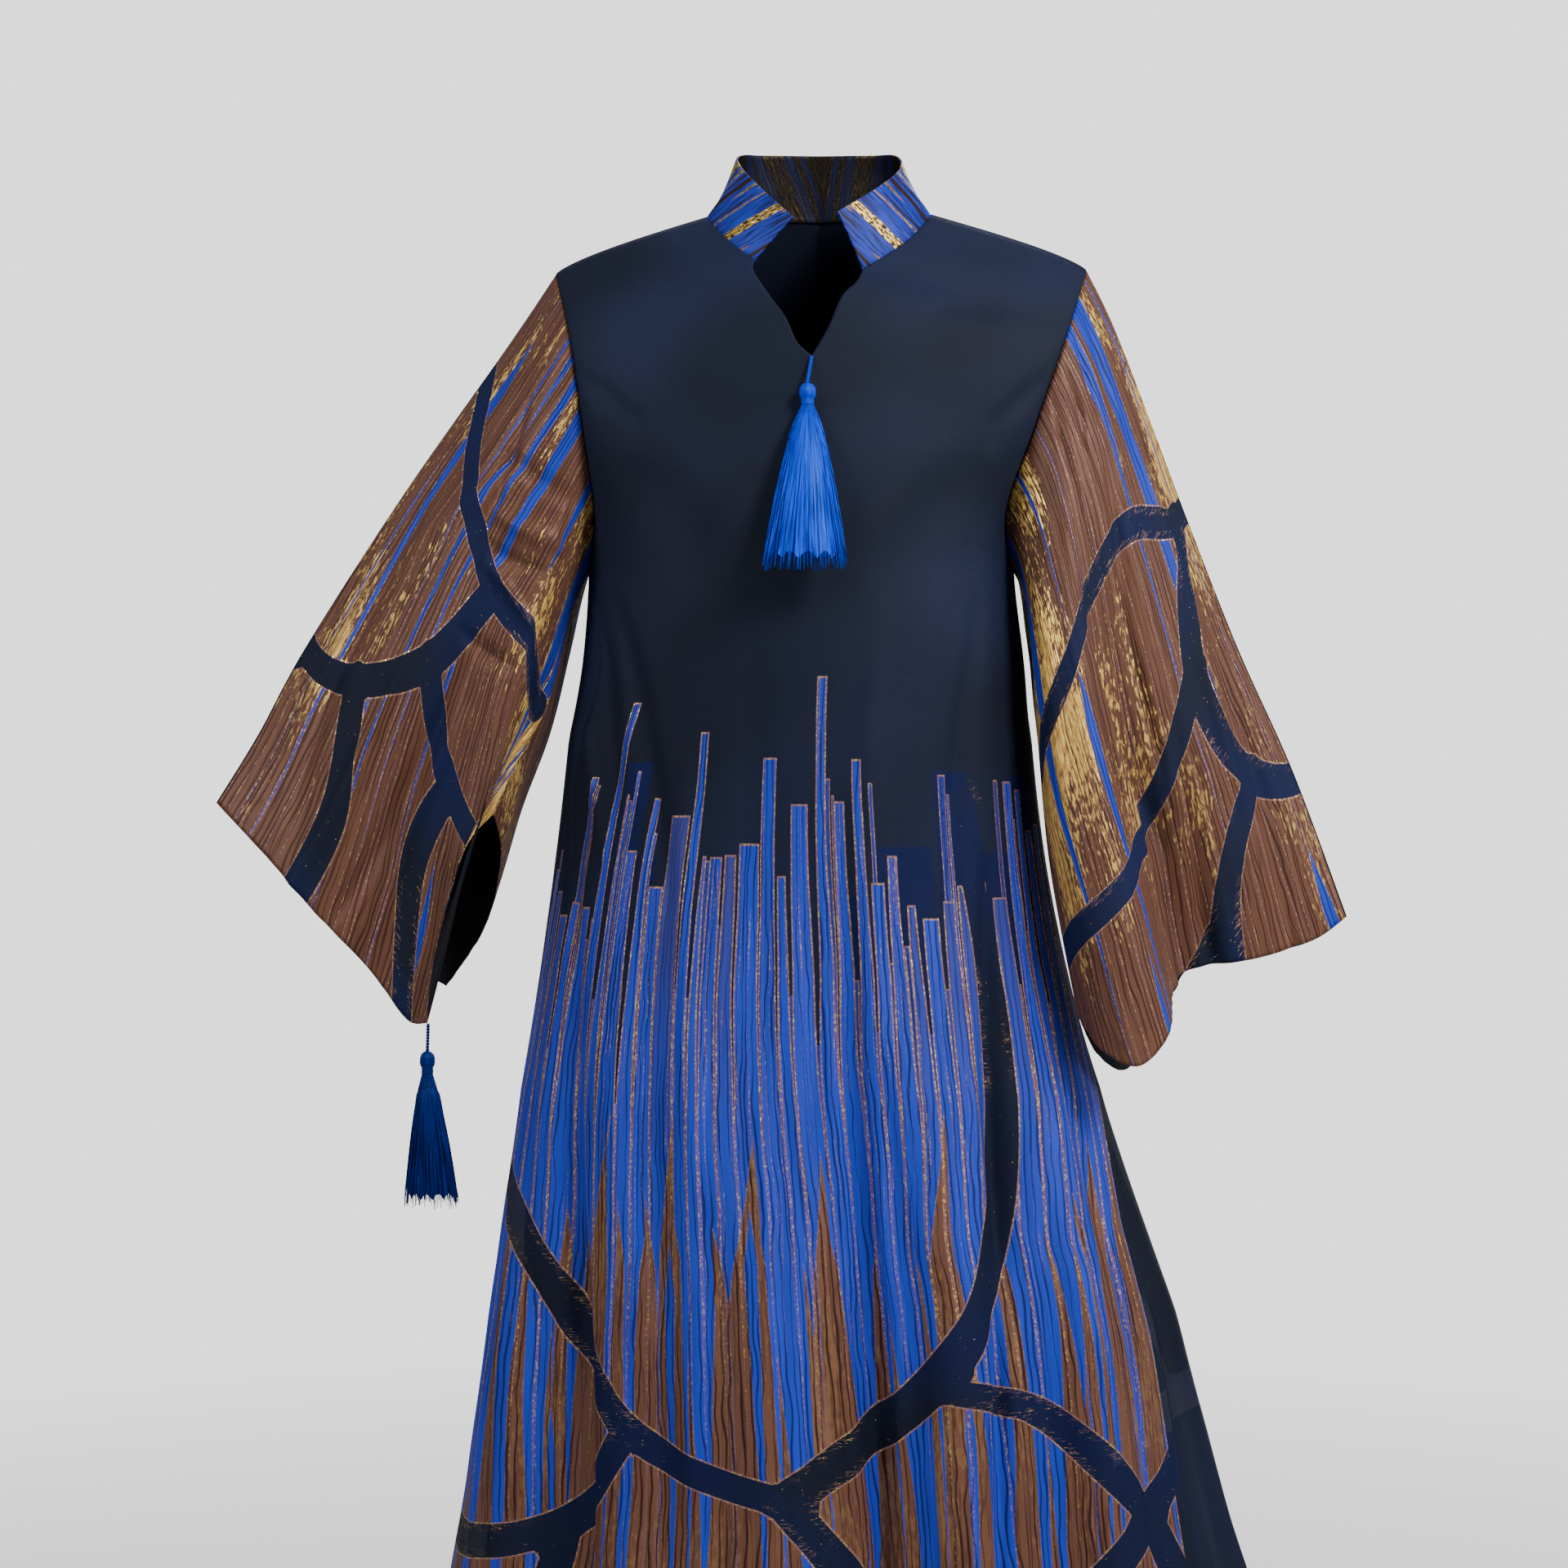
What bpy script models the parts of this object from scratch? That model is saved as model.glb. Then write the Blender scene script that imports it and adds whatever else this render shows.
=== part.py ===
"""A floor-length abaya in worn form: stand collar, V neck, bell sleeves with pointed hems and two tassels.

The origin is where the wearer's shoulders carry it, level with the neck ends of the shoulder seams.
+Z is up and the front faces -Y. Left and right are those of someone who looks at the front, so left is -X.
Sizes in the tables are millimetres, and bearings are degrees round the body: 90 is the centre front.
"""

import math
from collections import namedtuple

import bmesh
import bpy
from mathutils import Vector

MM = 0.001

WALL = 1.5
SEAM_GAP = 0.5
SHARPEST_SEAM = 0.3
SHARPEST_MITRE = 0.6
COLLAR_WALL = 1.8
LINING_WALL = 1.0
LINING_CLEARANCE = 0.4

HEM = -1430.0
UNDERARM = -288.0
LINING_TOP = -312.0
LINING_HEM = -1385.0
SLIP_EASE_LENGTH = 170.0

HALF_COLUMNS = 16
SKIRT_ROWS = 15
YOKE_ROWS = 12
V_FOOT_ROW = 5
NECK_CORNER_ROW = 9
BACK_NECK_ROW = 8
SLEEVE_ROWS = 12
SHOULDER_CROWN = 5.0

TASSEL_GRID = 8
LOCK_INSET = 0.16
LOCK_SPREAD = 2.2
LOCK_RAGGED = 0.035

Level = namedtuple("Level", "height left right front back")
BODY = [
    Level(-288, -182, 160, 120, 100),
    Level(-360, -187, 168, 121, 102),
    Level(-420, -198, 174, 122, 108),
    Level(-556, -214, 192, 129, 124),
    Level(-700, -236, 229, 150, 150),
    Level(-880, -262, 290, 178, 182),
    Level(-1088, -293, 349, 206, 214),
    Level(-1430, -346, 437, 250, 262),
]
SLIP = [
    Level(-288, -176, 154, 112, 93),
    Level(-480, -192, 168, 112, 100),
    Level(-700, -216, 196, 126, 124),
    Level(-880, -240, 226, 146, 146),
    Level(-1088, -262, 250, 166, 168),
    Level(-1430, -296, 288, 192, 200),
]

SeamPlace = namedtuple("SeamPlace", "height left right")
SIDE_SEAMS = [
    SeamPlace(-288, 0, 0),
    SeamPlace(-350, 24, 0),
    SeamPlace(-430, 20, 0),
    SeamPlace(-560, 6, 0),
    SeamPlace(-680, 0, 6),
    SeamPlace(-800, 0, 21),
    SeamPlace(-1088, 2, 34),
    SeamPlace(-1430, 6, 40),
]

Fold = namedtuple("Fold", "start bearing_high bearing_hem half_width depth")
FOLDS = [
    Fold(-440, 80, 86, 10, -38),
    Fold(-520, 50, 66, 8, -26),
    Fold(-540, 141, 139, 9, -27),
    Fold(-600, 111, 112, 15, 17),
    Fold(-560, 66, 76, 7, 12),
    Fold(-640, 40, 46, 12, 14),
    Fold(-640, 158, 158, 10, 12),
    Fold(-600, 14, 18, 8, -16),
    Fold(-420, -64, -60, 10, -34),
    Fold(-520, -92, -90, 11, 20),
    Fold(-440, -118, -120, 10, -34),
    Fold(-560, -36, -34, 10, 18),
    Fold(-560, -146, -148, 10, 18),
    Fold(-600, -14, -12, 9, -20),
    Fold(-600, -166, -168, 8, -18),
]

Point = namedtuple("Point", "x y z")
CENTRE_FRONT = [Point(-11, -120, -288), Point(-8, -118, -240), Point(-5, -112, -180), Point(-3.5, -103, -128)]
V_EDGE_LEFT = [
    Point(-3.5, -103, -128),
    Point(-15, -99, -117),
    Point(-23.4, -91, -97),
    Point(-34, -82, -81),
    Point(-48.5, -67, -57),
    Point(-48.5, -61, -47),
]
V_EDGE_RIGHT = [
    Point(-3.5, -103, -128),
    Point(9.5, -96, -104),
    Point(19.8, -86, -79),
    Point(31, -77, -67),
    Point(37, -62, -54),
]
NECK_LEFT = [Point(-48.5, -61, -47), Point(-72, -38, -24), Point(-88, 0, 0)]
NECK_RIGHT = [Point(37, -62, -54), Point(73, -40, -27), Point(94, 0, 2)]
NECK_BACK_LEFT = [Point(3, 72, 10), Point(-46, 60, 9), Point(-77, 34, 6), Point(-88, 0, 0)]
NECK_BACK_RIGHT = [Point(3, 72, 10), Point(52, 60, 10), Point(83, 34, 7), Point(94, 0, 2)]
CENTRE_BACK = [Point(-11, 100, -288), Point(-6, 108, -190), Point(0, 100, -80), Point(3, 72, 10)]

ARMHOLE_FRONT_LEFT = [
    Point(-182, 0, -288),
    Point(-175, -36, -243),
    Point(-182, -58, -183),
    Point(-194, -50, -106),
    Point(-209, 0, -47),
]
ARMHOLE_FRONT_RIGHT = [
    Point(160, 0, -288),
    Point(150, -38, -243),
    Point(171, -60, -178),
    Point(197, -50, -106),
    Point(219, 0, -44),
]
ARMHOLE_BACK_LEFT = [
    Point(-182, 0, -288),
    Point(-172, 42, -240),
    Point(-176, 62, -175),
    Point(-190, 50, -100),
    Point(-209, 0, -47),
]
ARMHOLE_BACK_RIGHT = [
    Point(160, 0, -288),
    Point(152, 42, -240),
    Point(168, 62, -175),
    Point(194, 50, -100),
    Point(219, 0, -44),
]

COLLAR_TOP = [
    Point(-18, -73, -15),
    Point(-38, -46, 8),
    Point(-60, -5, 39),
    Point(-62, 26, 55),
    Point(-42, 52, 61),
    Point(3, 63, 63),
    Point(47, 52, 61),
    Point(67, 26, 55),
    Point(69, -5, 38),
    Point(50, -42, 15),
    Point(17, -73, -11),
]
COLLAR_HALF_COLUMNS = 15
COLLAR_ROWS = 3
COLLAR_FRONT_SHARE = 6
COLLAR_RISE = 0.7

OVERARM_LEFT = [
    Point(-209, 0, -47),
    Point(-248, 0, -105),
    Point(-333, 6, -224),
    Point(-413, 12, -347),
    Point(-451, 12, -417),
    Point(-484, 8, -472),
]
UNDERARM_LEFT = [
    Point(-182, 0, -288),
    Point(-195, -14, -322),
    Point(-212, -30, -393),
    Point(-236, -48, -442),
    Point(-252, -62, -480),
]
HEM_FRONT_LEFT = [
    [
        Point(-484, 8, -472),
        Point(-433, -22, -520),
        Point(-395, -34, -561),
        Point(-360, -30, -599),
        Point(-325, -40, -642),
        Point(-306, -46, -645),
    ],
    [Point(-306, -46, -645), Point(-297, -52, -582), Point(-276, -66, -510), Point(-252, -62, -480)],
]
HEM_BACK_LEFT = [
    [Point(-484, 8, -472), Point(-428, 44, -525), Point(-362, 48, -590), Point(-300, 24, -622)],
    [Point(-300, 24, -622), Point(-266, 8, -572), Point(-250, -26, -516), Point(-252, -62, -480)],
]
OVERARM_RIGHT = [
    Point(219, 0, -44),
    Point(245, 0, -99),
    Point(298, 4, -237),
    Point(342, 8, -347),
    Point(387, 10, -447),
    Point(430, 8, -564),
]
UNDERARM_RIGHT = [
    Point(160, 0, -288),
    Point(169, -14, -312),
    Point(171, -34, -350),
    Point(174, -50, -419),
    Point(182, -64, -520),
    Point(202, -76, -634),
]
HEM_FRONT_RIGHT = [
    [
        Point(430, 8, -564),
        Point(402, -2, -582),
        Point(354, -16, -596),
        Point(296, -30, -606),
        Point(279, -60, -626),
    ],
    [
        Point(279, -60, -626),
        Point(270, -94, -650),
        Point(245, -114, -672),
        Point(217, -104, -660),
        Point(202, -76, -634),
    ],
]
HEM_BACK_RIGHT = [
    [Point(430, 8, -564), Point(378, 34, -582), Point(318, 34, -598), Point(272, 2, -652)],
    [Point(272, 2, -652), Point(246, -34, -683), Point(220, -60, -668), Point(202, -76, -634)],
]
HEM_COLUMNS = (7, 5)

SleeveFold = namedtuple("SleeveFold", "across_high across_low from_share half_width depth")
FOLDS_FRONT_LEFT = [
    SleeveFold(0.40, 0.48, 0.35, 0.10, -11),
    SleeveFold(0.80, 0.62, 0.12, 0.09, 9),
    SleeveFold(0.86, 0.90, 0.10, 0.07, -8),
]
FOLDS_BACK_LEFT = [SleeveFold(0.5, 0.45, 0.2, 0.14, 10), SleeveFold(0.78, 0.72, 0.2, 0.10, -8)]
FOLDS_FRONT_RIGHT = [SleeveFold(0.45, 0.50, 0.12, 0.08, -14), SleeveFold(0.62, 0.72, 0.2, 0.12, 10)]
FOLDS_BACK_RIGHT = [SleeveFold(0.5, 0.42, 0.2, 0.14, 12), SleeveFold(0.75, 0.68, 0.2, 0.10, -8)]
SLEEVE_FRONT_BULGE = 16.0
SLEEVE_BACK_BULGE = 14.0

CORD_RADIUS = 1.2
CORD_RELIEF = 0.9
TASSEL_HEAD_PROFILE = [(0.00, 0.30), (0.10, 0.70), (0.35, 1.00), (0.62, 0.98), (0.80, 0.74), (1.00, 0.76)]

TasselSize = namedtuple(
    "TasselSize", "cord_top head_top head_radius head_length skirt_end half_width half_depth"
)
CHEST_TASSEL = TasselSize(
    cord_top=Point(-3.5, -104.9, -128.8),
    head_top=Point(-7, -116, -151),
    head_radius=6.3,
    head_length=17,
    skirt_end=Point(-10, -156, -298),
    half_width=31,
    half_depth=11,
)
SLEEVE_TASSEL = TasselSize(
    cord_top=Point(-304.9, -50.5, -645.5),
    head_top=Point(-305.5, -50.8, -667),
    head_radius=5.9,
    head_length=18,
    skirt_end=Point(-302, -50, -790),
    half_width=21,
    half_depth=17,
)

CLOTHS = {
    "back_black": ((0.012, 0.014, 0.030), 0.50, 0.0),
    "jacquard_blue": ((0.020, 0.060, 0.420), 0.40, 0.1),
    "jacquard_bronze": ((0.170, 0.090, 0.050), 0.38, 0.3),
    "lining_black": ((0.006, 0.006, 0.009), 0.60, 0.0),
    "tassel_blue": ((0.005, 0.110, 0.800), 0.35, 0.0),
}


def remove_everything():
    for thing in list(bpy.data.objects):
        bpy.data.objects.remove(thing, do_unlink=True)


def cloth_material(name):
    if name in bpy.data.materials:
        return bpy.data.materials[name]
    colour, roughness, metallic = CLOTHS[name]
    material = bpy.data.materials.new(name)
    material.use_nodes = True
    shader = material.node_tree.nodes["Principled BSDF"]
    shader.inputs["Base Color"].default_value = (*colour, 1.0)
    shader.inputs["Roughness"].default_value = roughness
    shader.inputs["Metallic"].default_value = metallic
    return material


def smoothstep(value):
    value = min(1.0, max(0.0, value))
    return value * value * (3.0 - 2.0 * value)


def spline_value(before, start, end, after, share):
    """A Catmull-Rom value between start and end."""
    square = share * share
    cube = square * share
    return 0.5 * (
        2.0 * start
        + (end - before) * share
        + (2.0 * before - 5.0 * start + 4.0 * end - after) * square
        + (3.0 * start - before - 3.0 * end + after) * cube
    )


def curve_point(points, index, share):
    last = len(points) - 1
    near = [points[max(0, min(last, index + step))] for step in (-1, 0, 1, 2)]
    return Vector([spline_value(*[point[axis] for point in near], share) for axis in range(3)])


def along(points, count):
    """count + 1 points at even steps of length along a smooth curve through the table's points."""
    fine = [curve_point(points, index, step / 24) for index in range(len(points) - 1) for step in range(24)]
    fine.append(Vector(points[-1]))
    reach = [0.0]
    for start, end in zip(fine, fine[1:]):
        reach.append(reach[-1] + (end - start).length)
    result = []
    place = 0
    for step in range(count + 1):
        wanted = reach[-1] * step / count
        while place < len(fine) - 2 and reach[place + 1] < wanted:
            place += 1
        span = reach[place + 1] - reach[place]
        share = (wanted - reach[place]) / span if span else 0.0
        result.append(fine[place].lerp(fine[place + 1], min(1.0, share)))
    return result


def table_at(table, height):
    """The table's row at a height, by a smooth curve through its rows."""
    rows = sorted(table, key=lambda row: -row.height)
    for index in range(len(rows) - 1):
        if height >= rows[index + 1].height:
            break
    upper, lower = rows[index], rows[index + 1]
    share = (upper.height - height) / (upper.height - lower.height)
    share = min(1.0, max(0.0, share))
    before = rows[max(0, index - 1)]
    after = rows[min(len(rows) - 1, index + 2)]
    values = [spline_value(*column, share) for column in zip(before, upper, lower, after)]
    return type(upper)(*values)


def fold_push(height, bearing):
    """How far the folds push the cloth out at a height and a bearing, in mm."""
    push = 0.0
    for fold in FOLDS:
        fall = (fold.start - height) / (fold.start - HEM)
        if fall <= 0.0:
            continue
        middle = fold.bearing_high + (fold.bearing_hem - fold.bearing_high) * fall
        away = ((bearing - middle + 180.0) % 360.0 - 180.0) / fold.half_width
        push += fold.depth * smoothstep(fall * 1.15) * math.exp(-away * away)
    return push


def section_point(table, height, bearing, folded=True):
    """A point of the body: bearing 90 is the centre front, 0 the +X side and -90 the centre back."""
    level = table_at(table, height)
    centre = (level.left + level.right) / 2
    half = (level.right - level.left) / 2
    angle = math.radians(bearing)
    depth = level.front if math.sin(angle) > 0 else level.back
    outward = Vector((math.cos(angle) / half, -math.sin(angle) / depth, 0.0)).normalized()
    point = Vector((centre + half * math.cos(angle), -depth * math.sin(angle), height))
    if folded:
        point += outward * fold_push(height, bearing)
    return point


def skirt_heights():
    """Row heights from the hem to the underarm, with one row at the slip's top edge."""
    step = (LINING_TOP - HEM) / (SKIRT_ROWS - 1)
    return [HEM + step * row for row in range(SKIRT_ROWS)] + [UNDERARM]


def front_bearings(height):
    """Bearings of the front's columns, from the left side seam to the right one."""
    seam = table_at(SIDE_SEAMS, height)
    left, right = 180.0 - seam.left, seam.right
    first = [left + (90.0 - left) * column / HALF_COLUMNS for column in range(HALF_COLUMNS)]
    second = [90.0 + (right - 90.0) * column / HALF_COLUMNS for column in range(HALF_COLUMNS + 1)]
    return first + second


def back_bearings(height):
    """Bearings of the back's columns, from the right side seam round to the left one."""
    seam = table_at(SIDE_SEAMS, height)
    right, left = seam.right, -180.0 - seam.left
    first = [right + (-90.0 - right) * column / HALF_COLUMNS for column in range(HALF_COLUMNS)]
    second = [-90.0 + (left + 90.0) * column / HALF_COLUMNS for column in range(HALF_COLUMNS + 1)]
    return first + second


def yoke_row(outer, inner, columns, share):
    """Points from the armhole to the inner edge, on a quarter of an ellipse, with the shoulder's crown."""
    row = []
    for column in range(columns + 1):
        angle = math.pi / 2 * column / columns
        point = Vector(
            (
                inner.x + (outer.x - inner.x) * math.cos(angle),
                outer.y + (inner.y - outer.y) * math.sin(angle),
                inner.z + (outer.z - inner.z) * math.cos(angle),
            )
        )
        point.z += SHOULDER_CROWN * share**3 * math.sin(2 * angle)
        row.append(point)
    return row


def yoke_edge(centre, v_edge, neck):
    """The inner edge of half the front: centre line, V edge, then the neckline up to the shoulder."""
    edge = along(centre, V_FOOT_ROW)
    edge += along(v_edge, NECK_CORNER_ROW - V_FOOT_ROW)[1:]
    return edge + along(neck, YOKE_ROWS - NECK_CORNER_ROW)[1:]


class Sheet:
    """A sheet of cloth: points in mm, triangles that face out, and the thickness of its wall."""

    def __init__(self, name, cloth, wall):
        self.name = name
        self.cloth = cloth
        self.wall = wall
        self.points = []
        self.faces = []

    def add(self, point):
        self.points.append(Vector(point))
        return len(self.points) - 1

    def cell(self, a, b, c, d):
        """Two triangles, split along the shorter diagonal, in the same way on both sides of the wall."""
        points = self.points
        if (points[a] - points[c]).length <= (points[b] - points[d]).length:
            self.faces += [(a, b, c), (a, c, d)]
        else:
            self.faces += [(a, b, d), (b, c, d)]

    def strip(self, low, high):
        """Cells between two rows of point numbers, which run so that the cells face out."""
        for column in range(len(low) - 1):
            self.cell(low[column], low[column + 1], high[column + 1], high[column])

    def outward(self):
        """The outward direction at each point, from the faces round it."""
        totals = [Vector() for _ in self.points]
        for a, b, c in self.faces:
            normal = (self.points[b] - self.points[a]).cross(self.points[c] - self.points[a])
            for index in (a, b, c):
                totals[index] += normal
        return [total.normalized() for total in totals]

    def edges(self):
        """The directed edges that only one face uses, with the direction from each into the sheet."""
        normals = {}
        for a, b, c in self.faces:
            normal = (self.points[b] - self.points[a]).cross(self.points[c] - self.points[a])
            for pair in ((a, b), (b, c), (c, a)):
                normals[pair] = normal
        return {
            (a, b): normal.cross(self.points[b] - self.points[a]).normalized()
            for (a, b), normal in normals.items()
            if (b, a) not in normals
        }

    def edge_inward(self):
        """For each point on an edge, the direction into the sheet and how far it goes for each mm of pull."""
        sides = {}
        for (a, b), inward in self.edges().items():
            sides.setdefault(a, []).append(inward)
            sides.setdefault(b, []).append(inward)
        result = {}
        for index, directions in sides.items():
            middle = sum(directions, Vector()).normalized()
            result[index] = (middle, 1.0 / max(0.5, middle.dot(directions[0])))
        return result


def place_key(point):
    return (round(point.x, 2), round(point.y, 2), round(point.z, 2))


class Seams:
    """Where sheets meet: the outward direction that they share there, and the directions into each sheet."""

    def __init__(self, sheets):
        totals = {}
        self.inward = {}
        for sheet in sheets:
            for point, outward in zip(sheet.points, sheet.outward()):
                key = place_key(point)
                totals[key] = totals.get(key, Vector()) + outward
            for index, (inward, _) in sheet.edge_inward().items():
                self.inward.setdefault(place_key(sheet.points[index]), []).append(inward)
        self.shared = {key: total.normalized() for key, total in totals.items()}

    def pull(self, point, inward):
        """How far an edge point goes into its sheet, more where the sheets meet at a sharp angle."""
        sharpest = 1.0
        for other in self.inward[place_key(point)]:
            if (other - inward).length > 1e-4:
                sharpest = min(sharpest, (other - inward).length / 2.0)
        return SEAM_GAP / 2.0 / max(SHARPEST_SEAM, sharpest)

    def wall_direction(self, point, outward, inward):
        """Where a wall's thickness goes: along a mitre on a ridge, and square to the sheet in a valley."""
        shared = self.shared[place_key(point)]
        if inward is not None and shared.dot(inward) > 0.0:
            return outward
        return shared / max(SHARPEST_MITRE, shared.dot(outward))


def build_wall(sheet, seams):
    """One closed wall: the sheet, a copy of it a wall's thickness inside, and the strip round the edge."""
    inward = sheet.edge_inward()
    outer, inner = [], []
    for index, (point, outward) in enumerate(zip(sheet.points, sheet.outward())):
        into, stretch = inward.get(index, (None, 1.0))
        place = point.copy()
        if into is not None:
            place += into * seams.pull(point, into) * stretch
        outer.append(place)
        inner.append(place - seams.wall_direction(point, outward, into) * sheet.wall)
    mesh = bmesh.new()
    top = [mesh.verts.new(point * MM) for point in outer]
    under = [mesh.verts.new(point * MM) for point in inner]
    for a, b, c in sheet.faces:
        mesh.faces.new((top[a], top[b], top[c]))
        mesh.faces.new((under[c], under[b], under[a]))
    for a, b in sheet.edges():
        mesh.faces.new((top[b], top[a], under[a]))
        mesh.faces.new((top[b], under[a], under[b]))
    return place_object(sheet.name, mesh, sheet.cloth)


def place_object(name, mesh, cloth):
    data = bpy.data.meshes.new(name)
    mesh.to_mesh(data)
    mesh.free()
    data.shade_smooth()
    data.set_sharp_from_angle(angle=math.radians(50))
    data.materials.append(cloth_material(cloth))
    thing = bpy.data.objects.new(name, data)
    bpy.context.scene.collection.objects.link(thing)
    return thing


def front_sheet():
    """The front: a skirt and body from seam to seam, and two halves of a yoke that part at the V."""
    sheet = Sheet("front_panel", "jacquard_blue", WALL)
    rows = []
    for height in skirt_heights():
        row = [section_point(BODY, height, bearing) for bearing in front_bearings(height)]
        rows.append([sheet.add(point) for point in row])
    for low, high in zip(rows, rows[1:]):
        sheet.strip(low, high)
    left_edge = yoke_edge(CENTRE_FRONT, V_EDGE_LEFT, NECK_LEFT)
    right_edge = yoke_edge(CENTRE_FRONT, V_EDGE_RIGHT, NECK_RIGHT)
    left_arm = along(ARMHOLE_FRONT_LEFT, YOKE_ROWS)
    right_arm = along(ARMHOLE_FRONT_RIGHT, YOKE_ROWS)
    low_left = rows[-1][: HALF_COLUMNS + 1]
    low_right = rows[-1][HALF_COLUMNS:]
    for row in range(1, YOKE_ROWS + 1):
        share = row / YOKE_ROWS
        left = yoke_row(left_arm[row], left_edge[row], HALF_COLUMNS, share)
        right = yoke_row(right_arm[row], right_edge[row], HALF_COLUMNS, share)
        left_ids = [sheet.add(point) for point in left]
        right_ids = [sheet.add(point) for point in right[:-1]][::-1]
        middle = left_ids[-1] if row <= V_FOOT_ROW else sheet.add(right[-1])
        right_ids.insert(0, middle)
        sheet.strip(low_left, left_ids)
        sheet.strip(low_right, right_ids)
        low_left, low_right = left_ids, right_ids
    return sheet


def back_sheet():
    """The back: from the right side seam round to the left one, up to the shoulders and the back neck."""
    sheet = Sheet("back_panel", "back_black", WALL)
    rows = []
    for height in skirt_heights():
        row = [section_point(BODY, height, bearing) for bearing in back_bearings(height)]
        rows.append([sheet.add(point) for point in row])
    for low, high in zip(rows, rows[1:]):
        sheet.strip(low, high)
    right_edge = along(CENTRE_BACK, BACK_NECK_ROW) + along(NECK_BACK_RIGHT, YOKE_ROWS - BACK_NECK_ROW)[1:]
    left_edge = along(CENTRE_BACK, BACK_NECK_ROW) + along(NECK_BACK_LEFT, YOKE_ROWS - BACK_NECK_ROW)[1:]
    right_arm = along(ARMHOLE_BACK_RIGHT, YOKE_ROWS)
    left_arm = along(ARMHOLE_BACK_LEFT, YOKE_ROWS)
    low_right = rows[-1][: HALF_COLUMNS + 1]
    low_left = rows[-1][HALF_COLUMNS:]
    for row in range(1, YOKE_ROWS + 1):
        share = row / YOKE_ROWS
        right = yoke_row(right_arm[row], right_edge[row], HALF_COLUMNS, share)
        left = yoke_row(left_arm[row], left_edge[row], HALF_COLUMNS, share)
        right_ids = [sheet.add(point) for point in right]
        left_ids = [sheet.add(point) for point in left[:-1]][::-1]
        middle = right_ids[-1] if row <= BACK_NECK_ROW else sheet.add(left[-1])
        left_ids.insert(0, middle)
        sheet.strip(low_right, right_ids)
        sheet.strip(low_left, left_ids)
        low_right, low_left = right_ids, left_ids
    return sheet


def lining_sheet(seams):
    """A straight slip that hangs from the body's inside at bust height, narrower than the skirt."""
    sheet = Sheet("lining_slip", "lining_black", LINING_WALL)
    heights = [height for height in skirt_heights() if height <= LINING_TOP + 1]
    heights = heights[::2]
    rows = []
    for height in heights:
        bearings = front_bearings(height)[:-1:2] + back_bearings(height)[:-1:2]
        row = []
        for bearing in bearings:
            body = section_point(BODY, height, bearing)
            inside = body - seams.shared[place_key(body)] * (WALL + LINING_CLEARANCE)
            slip = section_point(SLIP, height, bearing, folded=False)
            ease = smoothstep((LINING_TOP - height) / SLIP_EASE_LENGTH)
            point = inside.lerp(slip, ease)
            point.z = max(point.z, LINING_HEM) if height <= HEM + 1 else point.z
            row.append(sheet.add(point))
        rows.append(row + row[:1])
    for low, high in zip(rows, rows[1:]):
        sheet.strip(low, high)
    return sheet


def sleeve_folds(folds, across, down):
    push = 0.0
    for fold in folds:
        fall = (down - fold.from_share) / (1.0 - fold.from_share)
        if fall <= 0.0:
            continue
        middle = fold.across_high + (fold.across_low - fold.across_high) * down
        away = (across - middle) / fold.half_width
        push += fold.depth * smoothstep(fall * 1.3) * math.exp(-away * away)
    return push


def sleeve_sheet(name, armhole, hem, over, under, folds, bulge, facing):
    """Half a sleeve: a patch between its armhole, hem, overarm and underarm edges, bulged and folded.

    facing is -1 for a front half and 1 for a back half, along Y.
    """
    sheet = Sheet(name, "jacquard_bronze", WALL)
    top = along(armhole, YOKE_ROWS)[::-1]
    foot = along(hem[0], HEM_COLUMNS[0]) + along(hem[1], HEM_COLUMNS[1])[1:]
    overarm = along(over, SLEEVE_ROWS)
    underarm = along(under, SLEEVE_ROWS)
    rows = []
    for row in range(SLEEVE_ROWS + 1):
        down = row / SLEEVE_ROWS
        ids = []
        for column in range(YOKE_ROWS + 1):
            across = column / YOKE_ROWS
            ruled = top[column].lerp(foot[column], down) + overarm[row].lerp(underarm[row], across)
            corners = top[0].lerp(foot[0], down).lerp(top[-1].lerp(foot[-1], down), across)
            point = ruled - corners
            round_off = math.sin(math.pi * across)
            puff = bulge * round_off * math.sin(math.pi * min(1.0, down * 0.95))
            crease = sleeve_folds(folds, across, down) * min(1.0, 4.0 * across * (1.0 - across))
            point.y += facing * (puff + crease)
            ids.append(sheet.add(point))
        rows.append(ids)
    turned = (over[0].x < 0) == (facing < 0)
    for high, low in zip(rows, rows[1:]):
        if turned:
            sheet.strip(low, high)
        else:
            sheet.strip(low[::-1], high[::-1])
    return sheet


def collar_sheet():
    """A stand collar: one band from the left front edge, round the back, to the right front edge."""
    sheet = Sheet("stand_collar", "jacquard_blue", COLLAR_WALL)
    front, back = COLLAR_FRONT_SHARE, COLLAR_HALF_COLUMNS - COLLAR_FRONT_SHARE
    base = along(NECK_LEFT, front) + along(NECK_BACK_LEFT[::-1], back)[1:]
    base += along(NECK_BACK_RIGHT, back)[1:] + along(NECK_RIGHT[::-1], front)[1:]
    top = along(COLLAR_TOP, 2 * COLLAR_HALF_COLUMNS)
    rise = Vector((0.0, 0.0, COLLAR_RISE))
    rows = []
    for row in range(COLLAR_ROWS + 1):
        share = row / COLLAR_ROWS
        rows.append([sheet.add((low + rise).lerp(high, share)) for low, high in zip(base, top)])
    for low, high in zip(rows, rows[1:]):
        sheet.strip(low[::-1], high[::-1])
    return sheet


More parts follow.
